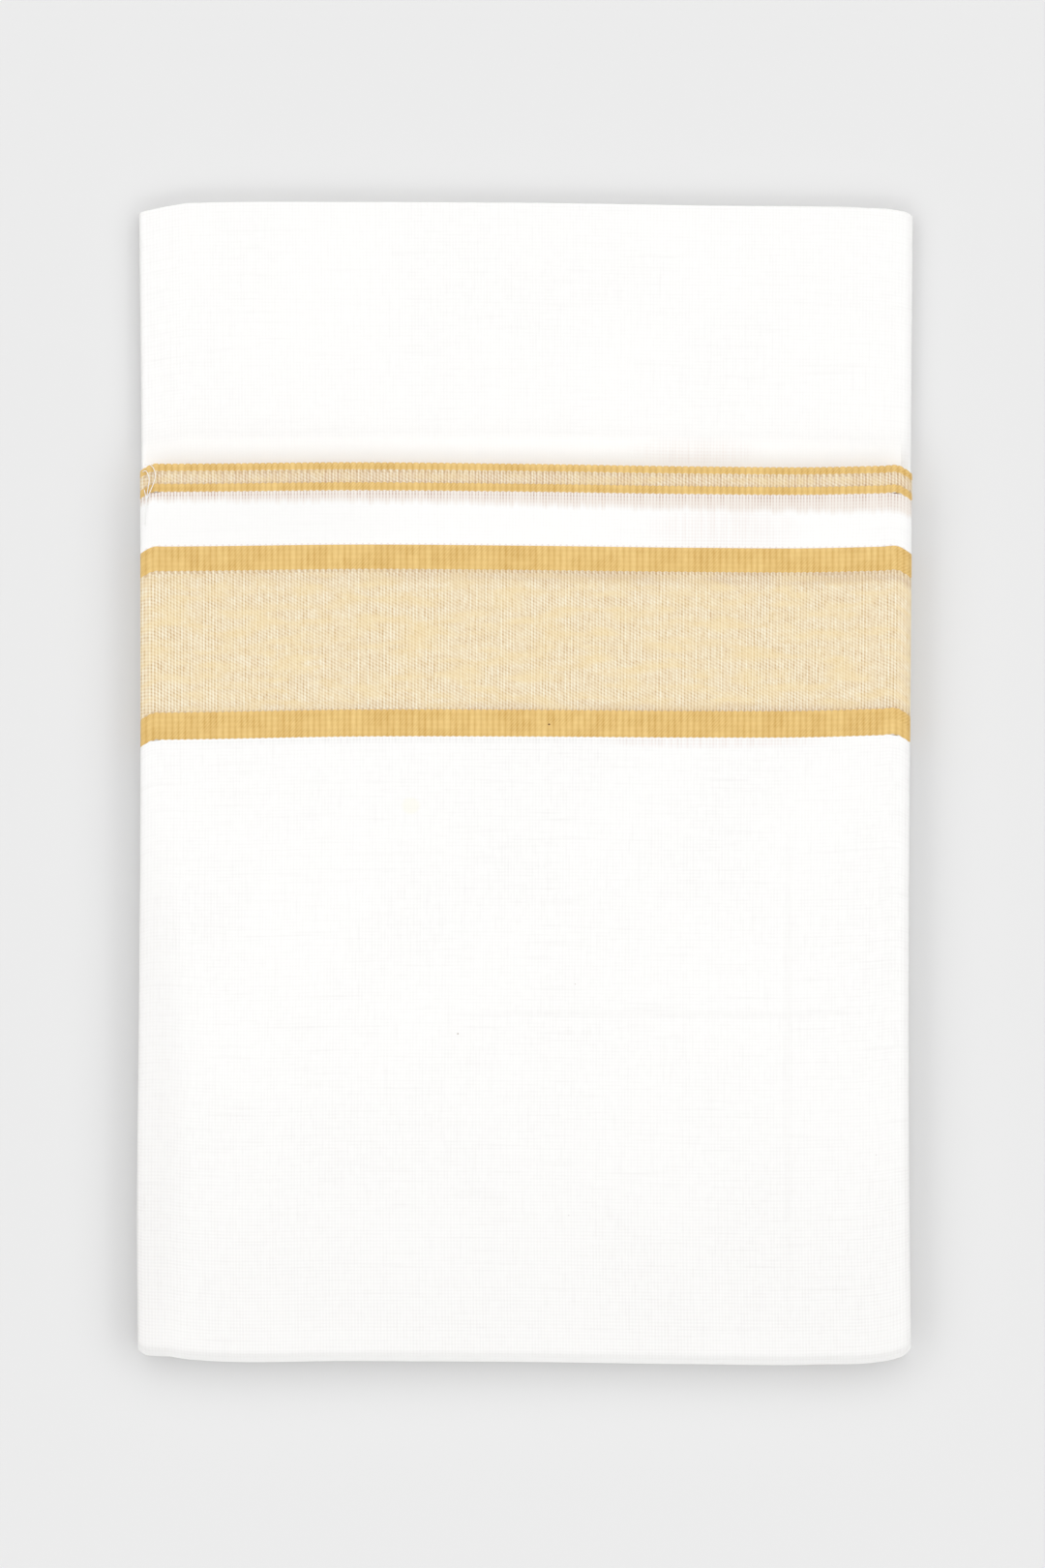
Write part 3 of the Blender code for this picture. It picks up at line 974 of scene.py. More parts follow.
PALETTE = Palette()
SHADOW = PALETTE.thread_shadow
SIDE_SHADE = Mark(along=-126.0, down=205.0, wide=25.0, high=125.0, colour=SHADOW, strength=0.12)
FLAP_MARKS = (
    Mark(along=-35.4, down=106.7, wide=3.4, high=3.2, colour=PALETTE.yellow_spot, strength=0.25),
    Mark(along=15.8, down=162.3, wide=0.30, high=0.24, colour=PALETTE.lint, strength=0.5),
    Mark(along=-20.4, down=178.1, wide=0.36, high=0.30, colour=PALETTE.lint, strength=0.9),
    Mark(along=14.0, down=234.7, wide=0.24, high=0.28, colour=PALETTE.lint, strength=0.4),
    Mark(along=108.9, down=216.0, wide=0.24, high=0.24, colour=PALETTE.lint, strength=0.4),
    Mark(along=56.0, down=86.2, wide=42.0, high=2.6, colour=PALETTE.pink_under, strength=0.4, dotted=True),
    Mark(along=-30.0, down=86.0, wide=100.0, high=1.4, colour=SHADOW, strength=0.3, dotted=True),
    # greyer lines along the two pressed creases: partly the pressed threads, partly painted shade
    Mark(along=44.0, down=171.6, wide=74.0, high=1.7, colour=SHADOW, strength=0.05),
    Mark(along=81.6, down=186.0, wide=1.8, high=96.0, colour=SHADOW, strength=0.05),
    SIDE_SHADE,
)
GAP_MARKS = (
    Mark(along=61.0, down=20.0, wide=28.0, high=10.0, colour=PALETTE.pink_under, strength=0.30, dotted=True),
    Mark(along=-80.0, down=19.0, wide=50.0, high=12.0, colour=SHADOW, strength=0.05),
)
FOLD_MARKS = (
    # painted highlight along the bottom fold, where the cloth rounds under and is shaded
    Mark(along=0.0, down=286.5, wide=400.0, high=8.5, colour=PALETTE.painted_light_white, strength=0.9),
    SIDE_SHADE,
    Mark(along=91.5, down=283.7, wide=8.5, high=0.55, colour=PALETTE.gold_turn, strength=0.85),
)
BORDER_MARKS = (
    Mark(along=7.3, down=81.1, wide=0.42, high=0.36, colour=PALETTE.speck, strength=0.95),
)
LEAF_MARKS = (
    # painted highlight on the leaf just above the flap's edge, against the shade of that step
    Mark(along=240.0, down=562.0, wide=400.0, high=15.0, colour=PALETTE.painted_light_white, strength=0.9),
    Mark(along=186.0, down=571.0, wide=24.0, high=5.5, colour=PALETTE.pink_under, strength=0.25, dotted=True),
)


class ClothShader:
    """The nodes of one finish, with the fields that its weave is drawn with."""

    def __init__(self, name: str, roughness: float, sheen: float) -> None:
        """Starts a material.

        Args:
            name: the finish's name.
            roughness: how matte the cloth is.
            sheen: how much of the light its nap catches at a grazing angle.
        """
        self.material = bpy.data.materials.new(name)
        self.material.use_nodes = True
        self.tree = self.material.node_tree
        self.shader = self.tree.nodes["Principled BSDF"]
        self.shader.inputs["Roughness"].default_value = roughness
        self.shader.inputs["Specular IOR Level"].default_value = 0.25
        self.shader.inputs["Sheen Weight"].default_value = sheen
        self.shader.inputs["Sheen Roughness"].default_value = 0.45
        place = self.tree.nodes.new("ShaderNodeUVMap")
        place.uv_map = "cloth"
        parts = self.tree.nodes.new("ShaderNodeSeparateXYZ")
        self.tree.links.new(place.outputs[0], parts.inputs[0])
        self.along = Field(self.tree, parts.outputs["X"]) * 1000.0
        self.down = Field(self.tree, parts.outputs["Y"]) * 1000.0
        self.rib = rib_phase(self.along)
        self.arch = (self.rib * np.pi).sine().size()
        self.thread_phase = swayed(self.along / THREAD_PITCH, self.along, THREAD_SWAYS)
        self.thread = self.thread_phase.wave()
        self.pick = swayed(self.down / PICK_PITCH, self.down, PICK_SWAYS).wave()
        self.twill = (self.thread_phase * 0.5 - self.down / PICK_PITCH).wave()

    def noise(self, along: float, down: float, seed: float, detail: float = 1.0) -> Field:
        """Smooth noise from 0 to 1.

        Args:
            along, down: the size of its blotches, in millimetres along the cloth and down from the selvedge.
            seed: which noise it is.
            detail: how many finer layers it has.

        Returns:
            The noise.
        """
        place = self.tree.nodes.new("ShaderNodeCombineXYZ")
        self.tree.links.new((self.along / along).socket, place.inputs[0])
        self.tree.links.new((self.down / down).socket, place.inputs[1])
        place.inputs[2].default_value = seed
        node = self.tree.nodes.new("ShaderNodeTexNoise")
        node.inputs["Scale"].default_value = 1.0
        node.inputs["Detail"].default_value = detail
        self.tree.links.new(place.outputs[0], node.inputs["Vector"])
        return Field(self.tree, node.outputs[0])

    def chance(self, number: Field) -> Field:
        """A random value from 0 to 1 for each whole number.

        Args:
            number: the number, of which the whole part counts.

        Returns:
            The value.
        """
        node = self.tree.nodes.new("ShaderNodeTexWhiteNoise")
        node.noise_dimensions = "1D"
        self.tree.links.new(number.whole().socket, node.inputs["W"])
        return Field(self.tree, node.outputs["Value"])

    def blend(self, first: Shade, second: Shade, share: Field) -> bpy.types.NodeSocket:
        """One colour giving way to another as share goes from 0 to 1.

        Args:
            first, second: colours, or colour sockets.
            share: how much of the second shows.

        Returns:
            The mixed colour's socket.
        """
        node = self.tree.nodes.new("ShaderNodeMix")
        node.data_type = "RGBA"
        self.tree.links.new(share.socket, node.inputs[0])
        for place, colour in ((6, first), (7, second)):
            if isinstance(colour, bpy.types.NodeSocket):
                self.tree.links.new(colour, node.inputs[place])
            else:
                node.inputs[place].default_value = (*colour, 1.0)
        return node.outputs[2]

    def plain_weave(self) -> Field:
        """The fine relief of the plain cotton: its threads, its picks and its slubs."""
        return self.thread * 0.5 + self.pick * 0.3 + self.noise(0.8, 14.0, 3.3) * 0.6

    def marked(self, colour: Shade, marks: tuple[Mark, ...]) -> Shade:
        """A colour with spots and patches on it: each is an ellipse that fades towards its edge.

        Args:
            colour: the cloth's colour.
            marks: the spots and patches. A dotted one shows between the threads only.

        Returns:
            The colour with them on it.
        """
        for mark in marks:
            aside = ((self.along - mark.along) / mark.wide).power(2.0)
            below = ((self.down - mark.down) / mark.high).power(2.0)
            share = (aside + below).step(0.0 if mark.dotted else 0.25, 1.0).flipped() * mark.strength
            if mark.dotted:
                streaks = self.noise(1.0, 24.0, 13.0).step(0.25, 0.75)
                share = share * (self.thread.flipped() * 0.6 + 0.3)
                share = share * (streaks * 0.7 + self.pick.flipped() * 0.5)
            colour = self.blend(colour, mark.colour, share)
        return colour

    def finish(self, colour: bpy.types.NodeSocket, height: Field, depth: float) -> bpy.types.Material:
        """Joins the colour and a bump of a given depth to the shader.

        Args:
            colour: the cloth's colour socket.
            height: its fine relief, from 0 to 1.
            depth: that relief's depth, in metres.

        Returns:
            The finished material.
        """
        self.tree.links.new(colour, self.shader.inputs["Base Color"])
        bump = self.tree.nodes.new("ShaderNodeBump")
        bump.inputs["Distance"].default_value = depth
        self.tree.links.new(height.socket, bump.inputs["Height"])
        self.tree.links.new(bump.outputs[0], self.shader.inputs["Normal"])
        return self.material


@dataclass(frozen=True)
class WhiteCotton:
    """The plain-woven ground: faint warp lines and dotted picks that come and go in patches.

    Attributes:
        name: the finish's name.
        strength: how dark the gaps between threads are.
        marks: its spots and tints, with painted shade and painted highlights on some finishes.
        open_rows: whether the rows beside the narrow border show the ply underneath.
        open_depth, open_slope: how far down those rows reach, in millimetres, and how much further for each
            millimetre along the cloth.
    """

    name: str
    strength: float = 0.105
    marks: tuple[Mark, ...] = ()
    open_rows: bool = False
    open_depth: float = 12.8
    open_slope: float = 0.0135

    def colour(self, cloth: ClothShader) -> bpy.types.NodeSocket:
        """The white, darkened along the gaps between threads in uneven patches, most on the lower flap, where
        the extra darkening is painted shade.

        Args:
            cloth: the shader to draw in.

        Returns:
            The colour.
        """
        broad = cloth.noise(34.0, 40.0, 1.7).step(0.20, 0.85) * 0.45 + 0.45
        low = cloth.down.between(225.0, 360.0, 130.0)
        lines = cloth.thread.flipped() * (cloth.noise(1.2, 4.0, 5.3).step(0.25, 0.80) + 0.35)
        rows = cloth.pick.flipped() * (cloth.noise(5.0, 1.3, 7.9).step(0.30, 0.80) + 0.30) * 0.8
        slubs = cloth.noise(0.9, 14.0, 8.3).step(0.58, 0.86) * 0.5
        slubs = slubs + cloth.noise(26.0, 1.2, 2.9).step(0.55, 0.88) * 0.7
        # painted shade: the lower flap darker, with its thread grid showing more there
        lower_grid_and_painted_shade = low * (cloth.thread.flipped() * 0.5 + cloth.pick.flipped() * 0.4 + 0.35) * 0.13
        shade = ((lines + rows) * broad + slubs) * self.strength + lower_grid_and_painted_shade
        return cloth.blend(PALETTE.white, PALETTE.thread_shadow, shade)

    def open_weave(self, cloth: ClothShader, colour: Shade) -> bpy.types.NodeSocket:
        """The rows just below the narrow border, where the ply underneath shows between the threads.

        Args:
            cloth: the shader to draw in.
            colour: the white around them.

        Returns:
            The colour with the rows on it.
        """
        foot = cloth.along * self.open_slope + self.open_depth
        ragged = cloth.down - foot + (cloth.noise(1.5, 60.0, 6.6) - 0.5) * 2.6
        zone = ragged.step(-1.8, 1.4).flipped()
        warm = cloth.blend(colour, PALETTE.under_warm, zone * 0.75)
        own = cloth.chance(cloth.thread_phase + 0.5) * 0.75 + 0.35
        dots = cloth.thread.flipped().step(0.2, 0.9) * own * (cloth.pick.flipped() * 0.5 + 0.5)
        narrow_end, wide_start = NARROW_STRIPES[-1].end / MM, WIDE_STRIPES[0].start / MM
        near = (cloth.down - narrow_end).step(0.0, 3.4).flipped() * 0.55 + 0.45
        shown = cloth.blend(warm, PALETTE.open_weave, zone * near * dots)
        last_row = cloth.down.between(wide_start - 0.5, wide_start + 0.1, 0.4)
        ticks = cloth.arch.step(0.2, 0.7).flipped() * last_row
        return cloth.blend(shown, PALETTE.open_weave, ticks * 0.28)

    def material(self) -> bpy.types.Material:
        """The finished cotton."""
        cloth = ClothShader(self.name, roughness=0.86, sheen=0.12)
        colour = self.colour(cloth)
        if self.open_rows:
            colour = self.open_weave(cloth, colour)
        colour = cloth.marked(colour, self.marks)
        return cloth.finish(colour, cloth.plain_weave(), COTTON_RELIEF)


@dataclass(frozen=True)
class WovenBorder:
    """A border: ribbed gold stripes beside a pale gold field of fine, uneven threads in a twill.

    Attributes:
        name: the finish's name.
        stripes: its stripes.
        brown_lines: how much its pale field is ruled with brown, from 0 to 1.
        marks: its specks.
    """

    name: str
    stripes: tuple[Stripe, ...]
    brown_lines: float
    marks: tuple[Mark, ...] = ()

    def gold(self, cloth: ClothShader) -> bpy.types.NodeSocket:
        """Soft ribs, with painted highlights on their crowns and painted shade in their grooves, each a
        little different, with fine hatching.

        Args:
            cloth: the shader to draw in.

        Returns:
            The gold's colour.
        """
        # painted light: each rib's crown lighter and its grooves darker, as light falls on the ribs
        tone = cloth.arch.power(0.8) * 0.46 + cloth.chance(cloth.rib) * 0.20 + 0.03
        tone = tone + cloth.noise(1.2, 4.0, 5.5, 2.0) * 0.54 - 0.09
        hatch = (cloth.along / THREAD_PITCH + cloth.down / PICK_PITCH).wave()
        hatch = hatch * cloth.noise(9.0, 5.0, 7.7).step(0.35, 0.62)
        rows = (cloth.down / 1.6 + 0.2).wave() * 0.10
        return cloth.blend(PALETTE.gold_dark, PALETTE.gold_light, tone - hatch * 0.30 - rows + 0.08)

    def pale_tone(self, cloth: ClothShader) -> Field:
        """How light the pale field's threads are: fine lines, each its own strength, over a twill's dots.

        Args:
            cloth: the shader to draw in.

        Returns:
            The lightness, about 0 to 1.
        """
        own = cloth.chance(cloth.thread_phase + 0.5) * 0.9 + 0.35
        uneven = cloth.noise(0.9, 5.0, 9.1, 0.0) - 0.5
        tone = (cloth.thread - 0.5) * own * 0.62 + (cloth.twill - 0.5) * 0.30 + uneven * 0.42 + 0.52
        tone = tone + (cloth.noise(0.8, 1.2, 4.4, 0.0) - 0.5) * 0.32
        return tone + (cloth.noise(7.0, 1.3, 3.2, 1.0) - 0.5) * 0.24

    def pale(self, cloth: ClothShader, tone: Field) -> bpy.types.NodeSocket:
        """The pale field's colour, greyer in the first few rows beside each gold stripe.

        Args:
            cloth: the shader to draw in.
            tone: how light its threads are.

        Returns:
            The colour.
        """
        colour = cloth.blend(PALETTE.pale_tan, PALETTE.pale, tone.step(-0.10, 0.50))
        colour = cloth.blend(colour, PALETTE.pale_cream, tone.step(0.45, 1.05))
        yellow = cloth.noise(13.0, 3.4, 6.1, 2.0).step(0.38, 0.72)
        colour = cloth.blend(colour, PALETTE.pale_yellow, yellow * 0.50)
        grooves = cloth.arch.step(0.15, 0.6).flipped() * (cloth.chance(cloth.rib + 0.5) * 0.3 + 0.05)
        grooves = grooves + cloth.thread.flipped() * cloth.noise(1.6, 9.0, 2.2).step(0.25, 0.75) * 0.6 + 0.12
        colour = cloth.blend(colour, PALETTE.narrow_brown, grooves * self.brown_lines)
        for stripe in self.stripes:
            if stripe.end - stripe.start > SHADED_STRIPE:
                after = (cloth.down - stripe.start / MM).step(2.2, 4.8).flipped()
                before = (cloth.down - stripe.end / MM).step(-3.6, -1.0) * 0.8
                uneven = cloth.thread.flipped() * 0.45 + cloth.noise(22.0, 4.0, 1.1).step(0.3, 0.7) * 0.25
                rightward = cloth.along.step(-110.0, 100.0) * 0.65 + 0.35
                colour = cloth.blend(colour, PALETTE.pale_grey, (after + before) * uneven * rightward)
        return colour

    def drawn_on(self, cloth: ClothShader, ground: Shade) -> Shade:
        """The border over the ground's colour, each stripe ending in teeth as its ribs do.

        Args:
            cloth: the shader to draw in.
            ground: the colour around the border.

        Returns:
            The colour of both.
        """
        tone = self.pale_tone(cloth)
        gold, pale = self.gold(cloth), self.pale(cloth, tone)
        toothed = cloth.down + (cloth.arch - 0.5) * 0.30
        ticks = cloth.arch.step(0.25, 0.75).flipped()
        for stripe in self.stripes:
            start, end = stripe.start / MM, stripe.end / MM
            if stripe.ribbed:
                ground = cloth.blend(ground, gold, toothed.between(start - 0.05, end, 0.22))
            else:
                ground = cloth.blend(ground, pale, toothed.between(start, end, 0.2))
                rows = toothed.between(start - 0.1, start + 0.8, 0.4)
                rows = rows + toothed.between(end - 0.7, end + 0.1, 0.4)
                ground = cloth.blend(ground, PALETTE.gold_tick, ticks * rows * 0.42)
        return ground

    def material(self) -> bpy.types.Material:
        """The finished border."""
        cloth = ClothShader(self.name, roughness=0.62, sheen=0.25)
        ground = WhiteCotton("ground").colour(cloth)
        colour = cloth.marked(self.drawn_on(cloth, ground), self.marks)
        height = self.pale_tone(cloth) * 0.6 + cloth.pick * 0.3
        return cloth.finish(colour, height, BORDER_RELIEF)


@dataclass(frozen=True)
class LayeredCotton:
    """The cloth of the panels inside: white, with both borders near the selvedge.

    Attributes:
        name: the finish's name.
        borders: the borders' weaves.
        marks: its tints and its painted highlight.
    """

    name: str
    borders: tuple[WovenBorder, ...]
    marks: tuple[Mark, ...] = ()

    def material(self) -> bpy.types.Material:
        """The finished cloth."""
        cloth = ClothShader(self.name, roughness=0.86, sheen=0.12)
        colour = WhiteCotton("ground").colour(cloth)
        for border in self.borders:
            colour = border.drawn_on(cloth, colour)
        colour = cloth.marked(colour, self.marks)
        return cloth.finish(colour, cloth.plain_weave(), COTTON_RELIEF)


def even(start: float, stop: float, step: float) -> Grid:
    """Places from start to stop, about a step apart."""
    return np.linspace(start, stop, max(2, int(round(abs(stop - start) / step)) + 1))


def finer(places: Grid, middle: float, reach: float, step: float) -> Grid:
    """The same places, with closer ones around one of them.

    Args:
        places: the places, in order.
        middle: where they get closer.
        reach: how far to each side of it.
        step: how close.

    Returns:
        All the places, in the same order.
    """
    low, high = min(places[0], places[-1]), max(places[0], places[-1])
    close = even(max(low, middle - reach), min(high, middle + reach), step)
    outside = places[abs(places - middle) > reach]
    found = np.unique(np.concatenate([close, outside, places[[0, -1]]]))
    return found if places[-1] > places[0] else found[::-1]


def assigned(piece: bpy.types.Object, nodes: tuple[str, ...]) -> bpy.types.Object:
    """The piece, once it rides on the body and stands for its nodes.

    Args:
        piece: the finished object.
        nodes: the nodes that it replaces.

    Returns:
        The same object.
    """
    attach(piece, "root")
    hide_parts(*nodes)
    log.info("%s: %d quads", piece.name, len(piece.data.polygons))
    return piece


def declared(
    piece: bpy.types.Object, sheet: Sheet
) -> None:
    """Logs the flat size of a sheet of cloth.

    Args:
        piece: the finished object.
        sheet: the sheet that it was built from.
    """
    width, length = sheet.flat()
    log.info("%s: %.0f x %.0f mm of doubled cloth", piece.name, width / MM, length / MM)


@dataclass(frozen=True)
class OuterPanel:
    """The third panel of the cloth: it wraps the packet and carries both borders across its front.

    Attributes:
        seam: how far down from the selvedge the back's stretch ends and the flap's begins.
        coarse, fine: the spacing of rows and columns, in plain places and over a crease.
        first_row, hidden: the back's first row below its top fold's rows, and the spacing of the others.
        long_crease, long_reach: where the crease down the flap lies, across the packet, and how far to each
            side of it the columns are close.
        cross_crease, cross_reach: where the crease across the flap lies, down from the selvedge, and how far
            to each side of it the rows are close.
        ribbed_turn_points: the points round a side fold where the ribs run round it.
        columns_per_rib: the columns of the mesh for each rib.
        dense_points: the points of the line that their places are read from.
        least_gap: how near to the side folds a column may come.
    """

    seam: float = 271.0 * MM
    coarse: float = 3.2 * MM
    fine: float = 0.55 * MM
    first_row: float = 12.0 * MM
    hidden: float = 9.0 * MM
    long_crease: float = 82.2 * MM
    long_reach: float = 5.0 * MM
    cross_crease: float = 172.8 * MM
    cross_reach: float = 6.0 * MM
    ribbed_turn_points: int = 25
    columns_per_rib: int = 6
    dense_points: int = 20000
    least_gap: float = 0.01 * MM

    def line(self, columns: Grid, turn_points: int = STACK.turn_points) -> Section:
        """Its line: round the left fold, across the outer face, and round the right fold.

        Args:
            columns: places across the outer face.
            turn_points: the points round each side fold.

        Returns:
            The line.
        """
        stack = Stack(turn_points=turn_points)
        left, right = stack.turn(Side.LEFT, 5, 8), stack.turn(Side.RIGHT, 8, 1)
        return left.joined(stack.run(8, columns)).joined(right)

    def origin(self, line: Section) -> float:
        """The distance along the cloth at the line's start, so that it equals across on the outer face."""
        middle = int(np.argmin(abs(line.across) + (abs(line.depth - STACK.level(8)) > 1e-6)))
        return float(line.across[middle] - line.distance()[middle])

    def plain_columns(self) -> Grid:
        """Columns across the outer face, closer over the long crease."""
        ends = STACK.fold_start(Side.LEFT), STACK.fold_start(Side.RIGHT)
        return finer(even(*ends, self.coarse), self.long_crease, self.long_reach, self.fine)

    def rib_columns(self) -> Grid:
        """Columns across the outer face, a few to each rib, each rib's groove among them.

        The ribs' numbers are worked out on a dense line, and the columns' places are read back from it.
        """
        low, high = STACK.fold_start(Side.LEFT), STACK.fold_start(Side.RIGHT)
        dense = np.linspace(low, high, self.dense_points)
        phase = rib_phase(dense / MM)
        count = self.columns_per_rib
        ticks = np.arange(np.ceil(phase[0] * count), np.floor(phase[-1] * count) + 1) / count
        inner = np.interp(ticks, phase, dense)
        inner = inner[(inner > low + self.least_gap) & (inner < high - self.least_gap)]
        return np.concatenate([[low], inner, [high]])

    def build_back(self, finish: WhiteCotton) -> None:
        """The stretch that lies on the table and rolls round the bottom fold.

        Args:
            finish: its cotton.
        """
        line = self.line(self.plain_columns())
        leaf = PACKET.leaf_path(TOP_FOLD_ROWS)
        rest = even(PACKET.leaf_path(self.first_row), LAST_LEAF_PATH, PACKET.leaf_path(self.hidden))
        stations = np.concatenate([leaf, rest, BEND_PATHS, [PACKET.flap_path(self.seam)]])
        relief = Relief(creases=BACK_CREASES)
        origin = self.origin(line)
        sheet = Sheet("back_cloth_sheet", line, stations, origin, top=Edge.FOLD, relief=relief)
        piece = assigned(sheet.build(finish.material()), ("back_cloth",))
        declared(piece, sheet)

    def build_flap(self, finish: WhiteCotton) -> None:
        """The white stretch of the flap, from the bottom fold to the wide border.

        Args:
            finish: its cotton.
        """
        line = self.line(self.plain_columns())
        rows = even(self.seam, PACKET.borders, self.coarse)
        stations = PACKET.flap_path(finer(rows, self.cross_crease, self.cross_reach, self.fine))
        relief = Relief(creases=FLAP_CREASES)
        sheet = Sheet("flap_cloth_sheet", line, stations, self.origin(line), relief=relief)
        piece = assigned(sheet.build(finish.material()), ("flap_cloth",))
        declared(piece, sheet)

    def build_wide_border(self, finish: WovenBorder) -> None:
        """The wide border, its gold stripes ribbed in relief.

        Args:
            finish: its weave.
        """
        line = self.line(self.rib_columns(), self.ribbed_turn_points)
        stations = PACKET.flap_path(WIDE_BORDER_ROWS)
        relief = Relief(stripes=WIDE_STRIPES)
        sheet = Sheet("wide_border_sheet", line, stations, self.origin(line), relief=relief)
        piece = assigned(sheet.build(finish.material()), ("border_wide",))
        declared(piece, sheet)

    def build_selvedge(self, ground: WhiteCotton, border: WovenBorder) -> None:
        """The white stretch between the borders, and the narrow border that ends in the selvedge.

        Args:
            ground: the white stretch's cotton.
            border: the narrow border's weave.
        """
        border_end = NARROW_STRIPES[-1].end
        line = self.line(self.rib_columns(), self.ribbed_turn_points)
        sheet = Sheet(
            "narrow_border_sheet", line, PACKET.flap_path(NARROW_BORDER_ROWS), self.origin(line),
            foot=Edge.SELVEDGE, relief=Relief(stripes=NARROW_STRIPES), foot_reach=border_end,
        )
        narrow = assigned(sheet.build(border.material()), ("border_narrow",))

        line = self.line(self.plain_columns())
        stations = PACKET.flap_path(even(WIDE_STRIPES[0].start, border_end, self.coarse / 2))
        sheet = Sheet("border_gap_sheet", line, stations, self.origin(line))
        gap = assigned(sheet.build(ground.material()), ("border_gap",))
        declared(gap, sheet)


@dataclass(frozen=True)
class InnerPanels:
    """The other panels: the one whose face shows above the flap, and those hidden in the stack.

    Attributes:
        coarse, hidden: the spacing of rows and columns, where they show and where they are hidden.
        visible: how far down the leaf its rows stay close, a little past the part that shows.
        first_shown, first_hidden: the first row below the top fold's rows, where the panel shows and where
            it is hidden.
        bend_room, border_room: how far the flap's even rows stay from the bottom bend and from the borders.
        margin: from the last hidden column to the side folds and to the raw ends.
        tuck: how far the top panel runs on under its left fold, before the hidden run takes over.
        tuck_step, tuck_margin: the spacing of its columns there, and of the hidden run's first two.
        top_origin, first_origin, last_origin: where each run begins along the cloth's pattern.
        raw_inset_first, raw_inset_last: how far the two raw ends stay inside the packet.
    """

    coarse: float = 3.2 * MM
    hidden: float = 14.0 * MM
    visible: float = 96.0 * MM
    first_shown: float = 9.0 * MM
    first_hidden: float = 12.0 * MM
    bend_room: float = 12.0 * MM
    border_room: float = 10.0 * MM
    margin: float = 5.0 * MM
    tuck: float = 6.0 * MM
    tuck_step: float = 2.0 * MM
    tuck_margin: float = 4.0 * MM
    top_origin: float = 122.6 * MM
    first_origin: float = 0.4
    last_origin: float = 0.9
    raw_inset_first: float = 1.4 * MM
    raw_inset_last: float = 1.9 * MM

    def stations(self, visible: float) -> Grid:
        """Path values for a whole panel.

        Args:
            visible: how far below the top edge its rows stay close, or 0 for a hidden panel.

        Returns:
            The values, from the top edge to the selvedge.
        """
        leaf = PACKET.leaf_path(TOP_FOLD_ROWS)
        close = even(self.first_shown, visible, self.coarse) if visible else np.array([self.first_hidden])
        shown = PACKET.leaf_path(close)
        step = PACKET.leaf_path(self.hidden)
        rest = even(float(shown[-1]) + step, LAST_LEAF_PATH, step)
        first, last = PACKET.flap - self.bend_room, PACKET.borders + self.border_room
        flap = PACKET.flap_path(even(first, last, self.hidden))
        foot = PACKET.flap_path(PANEL_FOOT_ROWS)
        return np.concatenate([leaf, shown, rest, BEND_PATHS, flap, foot])

    def build_top(self, finish: LayeredCotton) -> None:
        """The panel that faces up above the flap, round its narrow left fold.

        Args:
            finish: its cotton.
        """
        start, low = STACK.fold_start(Side.RIGHT), STACK.fold_start(Side.LEFT, first=True)
        line = STACK.run(1, even(start, low, self.coarse)).joined(STACK.turn(Side.LEFT, 1, 2))
        inner = STACK.run(2, even(low, low + self.tuck, self.tuck_step))
        sheet = Sheet(
            "top_cloth_sheet", line.joined(inner), self.stations(self.visible), self.top_origin,
            top=Edge.FOLD, foot=Edge.SELVEDGE, relief=Relief(creases=LEAF_CREASES),
        )
        piece = assigned(sheet.build(finish.material()), ("top_cloth",))
        declared(piece, sheet)

    def build_hidden(self, finish: LayeredCotton) -> None:
        """The cloth's first two panels and its last four, between the outer and the top ones.

        Args:
            finish: their cotton.
        """
        left, right = STACK.fold_start(Side.LEFT), STACK.fold_start(Side.RIGHT)
        inside = even(left + self.margin, right - self.margin, self.hidden)
        wide = np.concatenate([[left], inside, [right]])
        raw_start = -PACKET.width / 2 + self.raw_inset_first
        first = STACK.run(4, np.concatenate([[raw_start, raw_start + self.margin], wide[1:]]))
        first = first.joined(STACK.turn(Side.RIGHT, 4, 5)).joined(STACK.run(5, wide[::-1]))
        under = STACK.fold_start(Side.LEFT, first=True) + self.tuck
        last = STACK.run(2, np.concatenate([[under, under + self.tuck_margin], wide[2:]]))
        last = last.joined(STACK.turn(Side.RIGHT, 2, 7)).joined(STACK.run(7, wide[::-1]))
        last = last.joined(STACK.turn(Side.LEFT, 7, 6)).joined(STACK.run(6, wide))
        last = last.joined(STACK.turn(Side.RIGHT, 6, 3))
        raw_end = -PACKET.width / 2 + self.raw_inset_last
        last = last.joined(STACK.run(3, np.concatenate([wide[:0:-1], [raw_end + self.margin, raw_end]])))
        material = finish.material()
        for name, line, origin, start, end in (
            ("first_panels_sheet", first, self.first_origin, Edge.RAW, Edge.SEAM),
            ("last_panels_sheet", last, self.last_origin, Edge.SEAM, Edge.RAW),
        ):
            sheet = Sheet(
                name, line, self.stations(0), origin,
                top=Edge.FOLD, foot=Edge.SELVEDGE, start=start, end=end,
            )
            piece = assigned(sheet.build(material), ("inner_layers",))
            declared(piece, sheet)


NEARLY_UP = np.array([0.13, 0.21, 0.97])  # a direction that no thread runs along
TIP_TAPER = 0.05


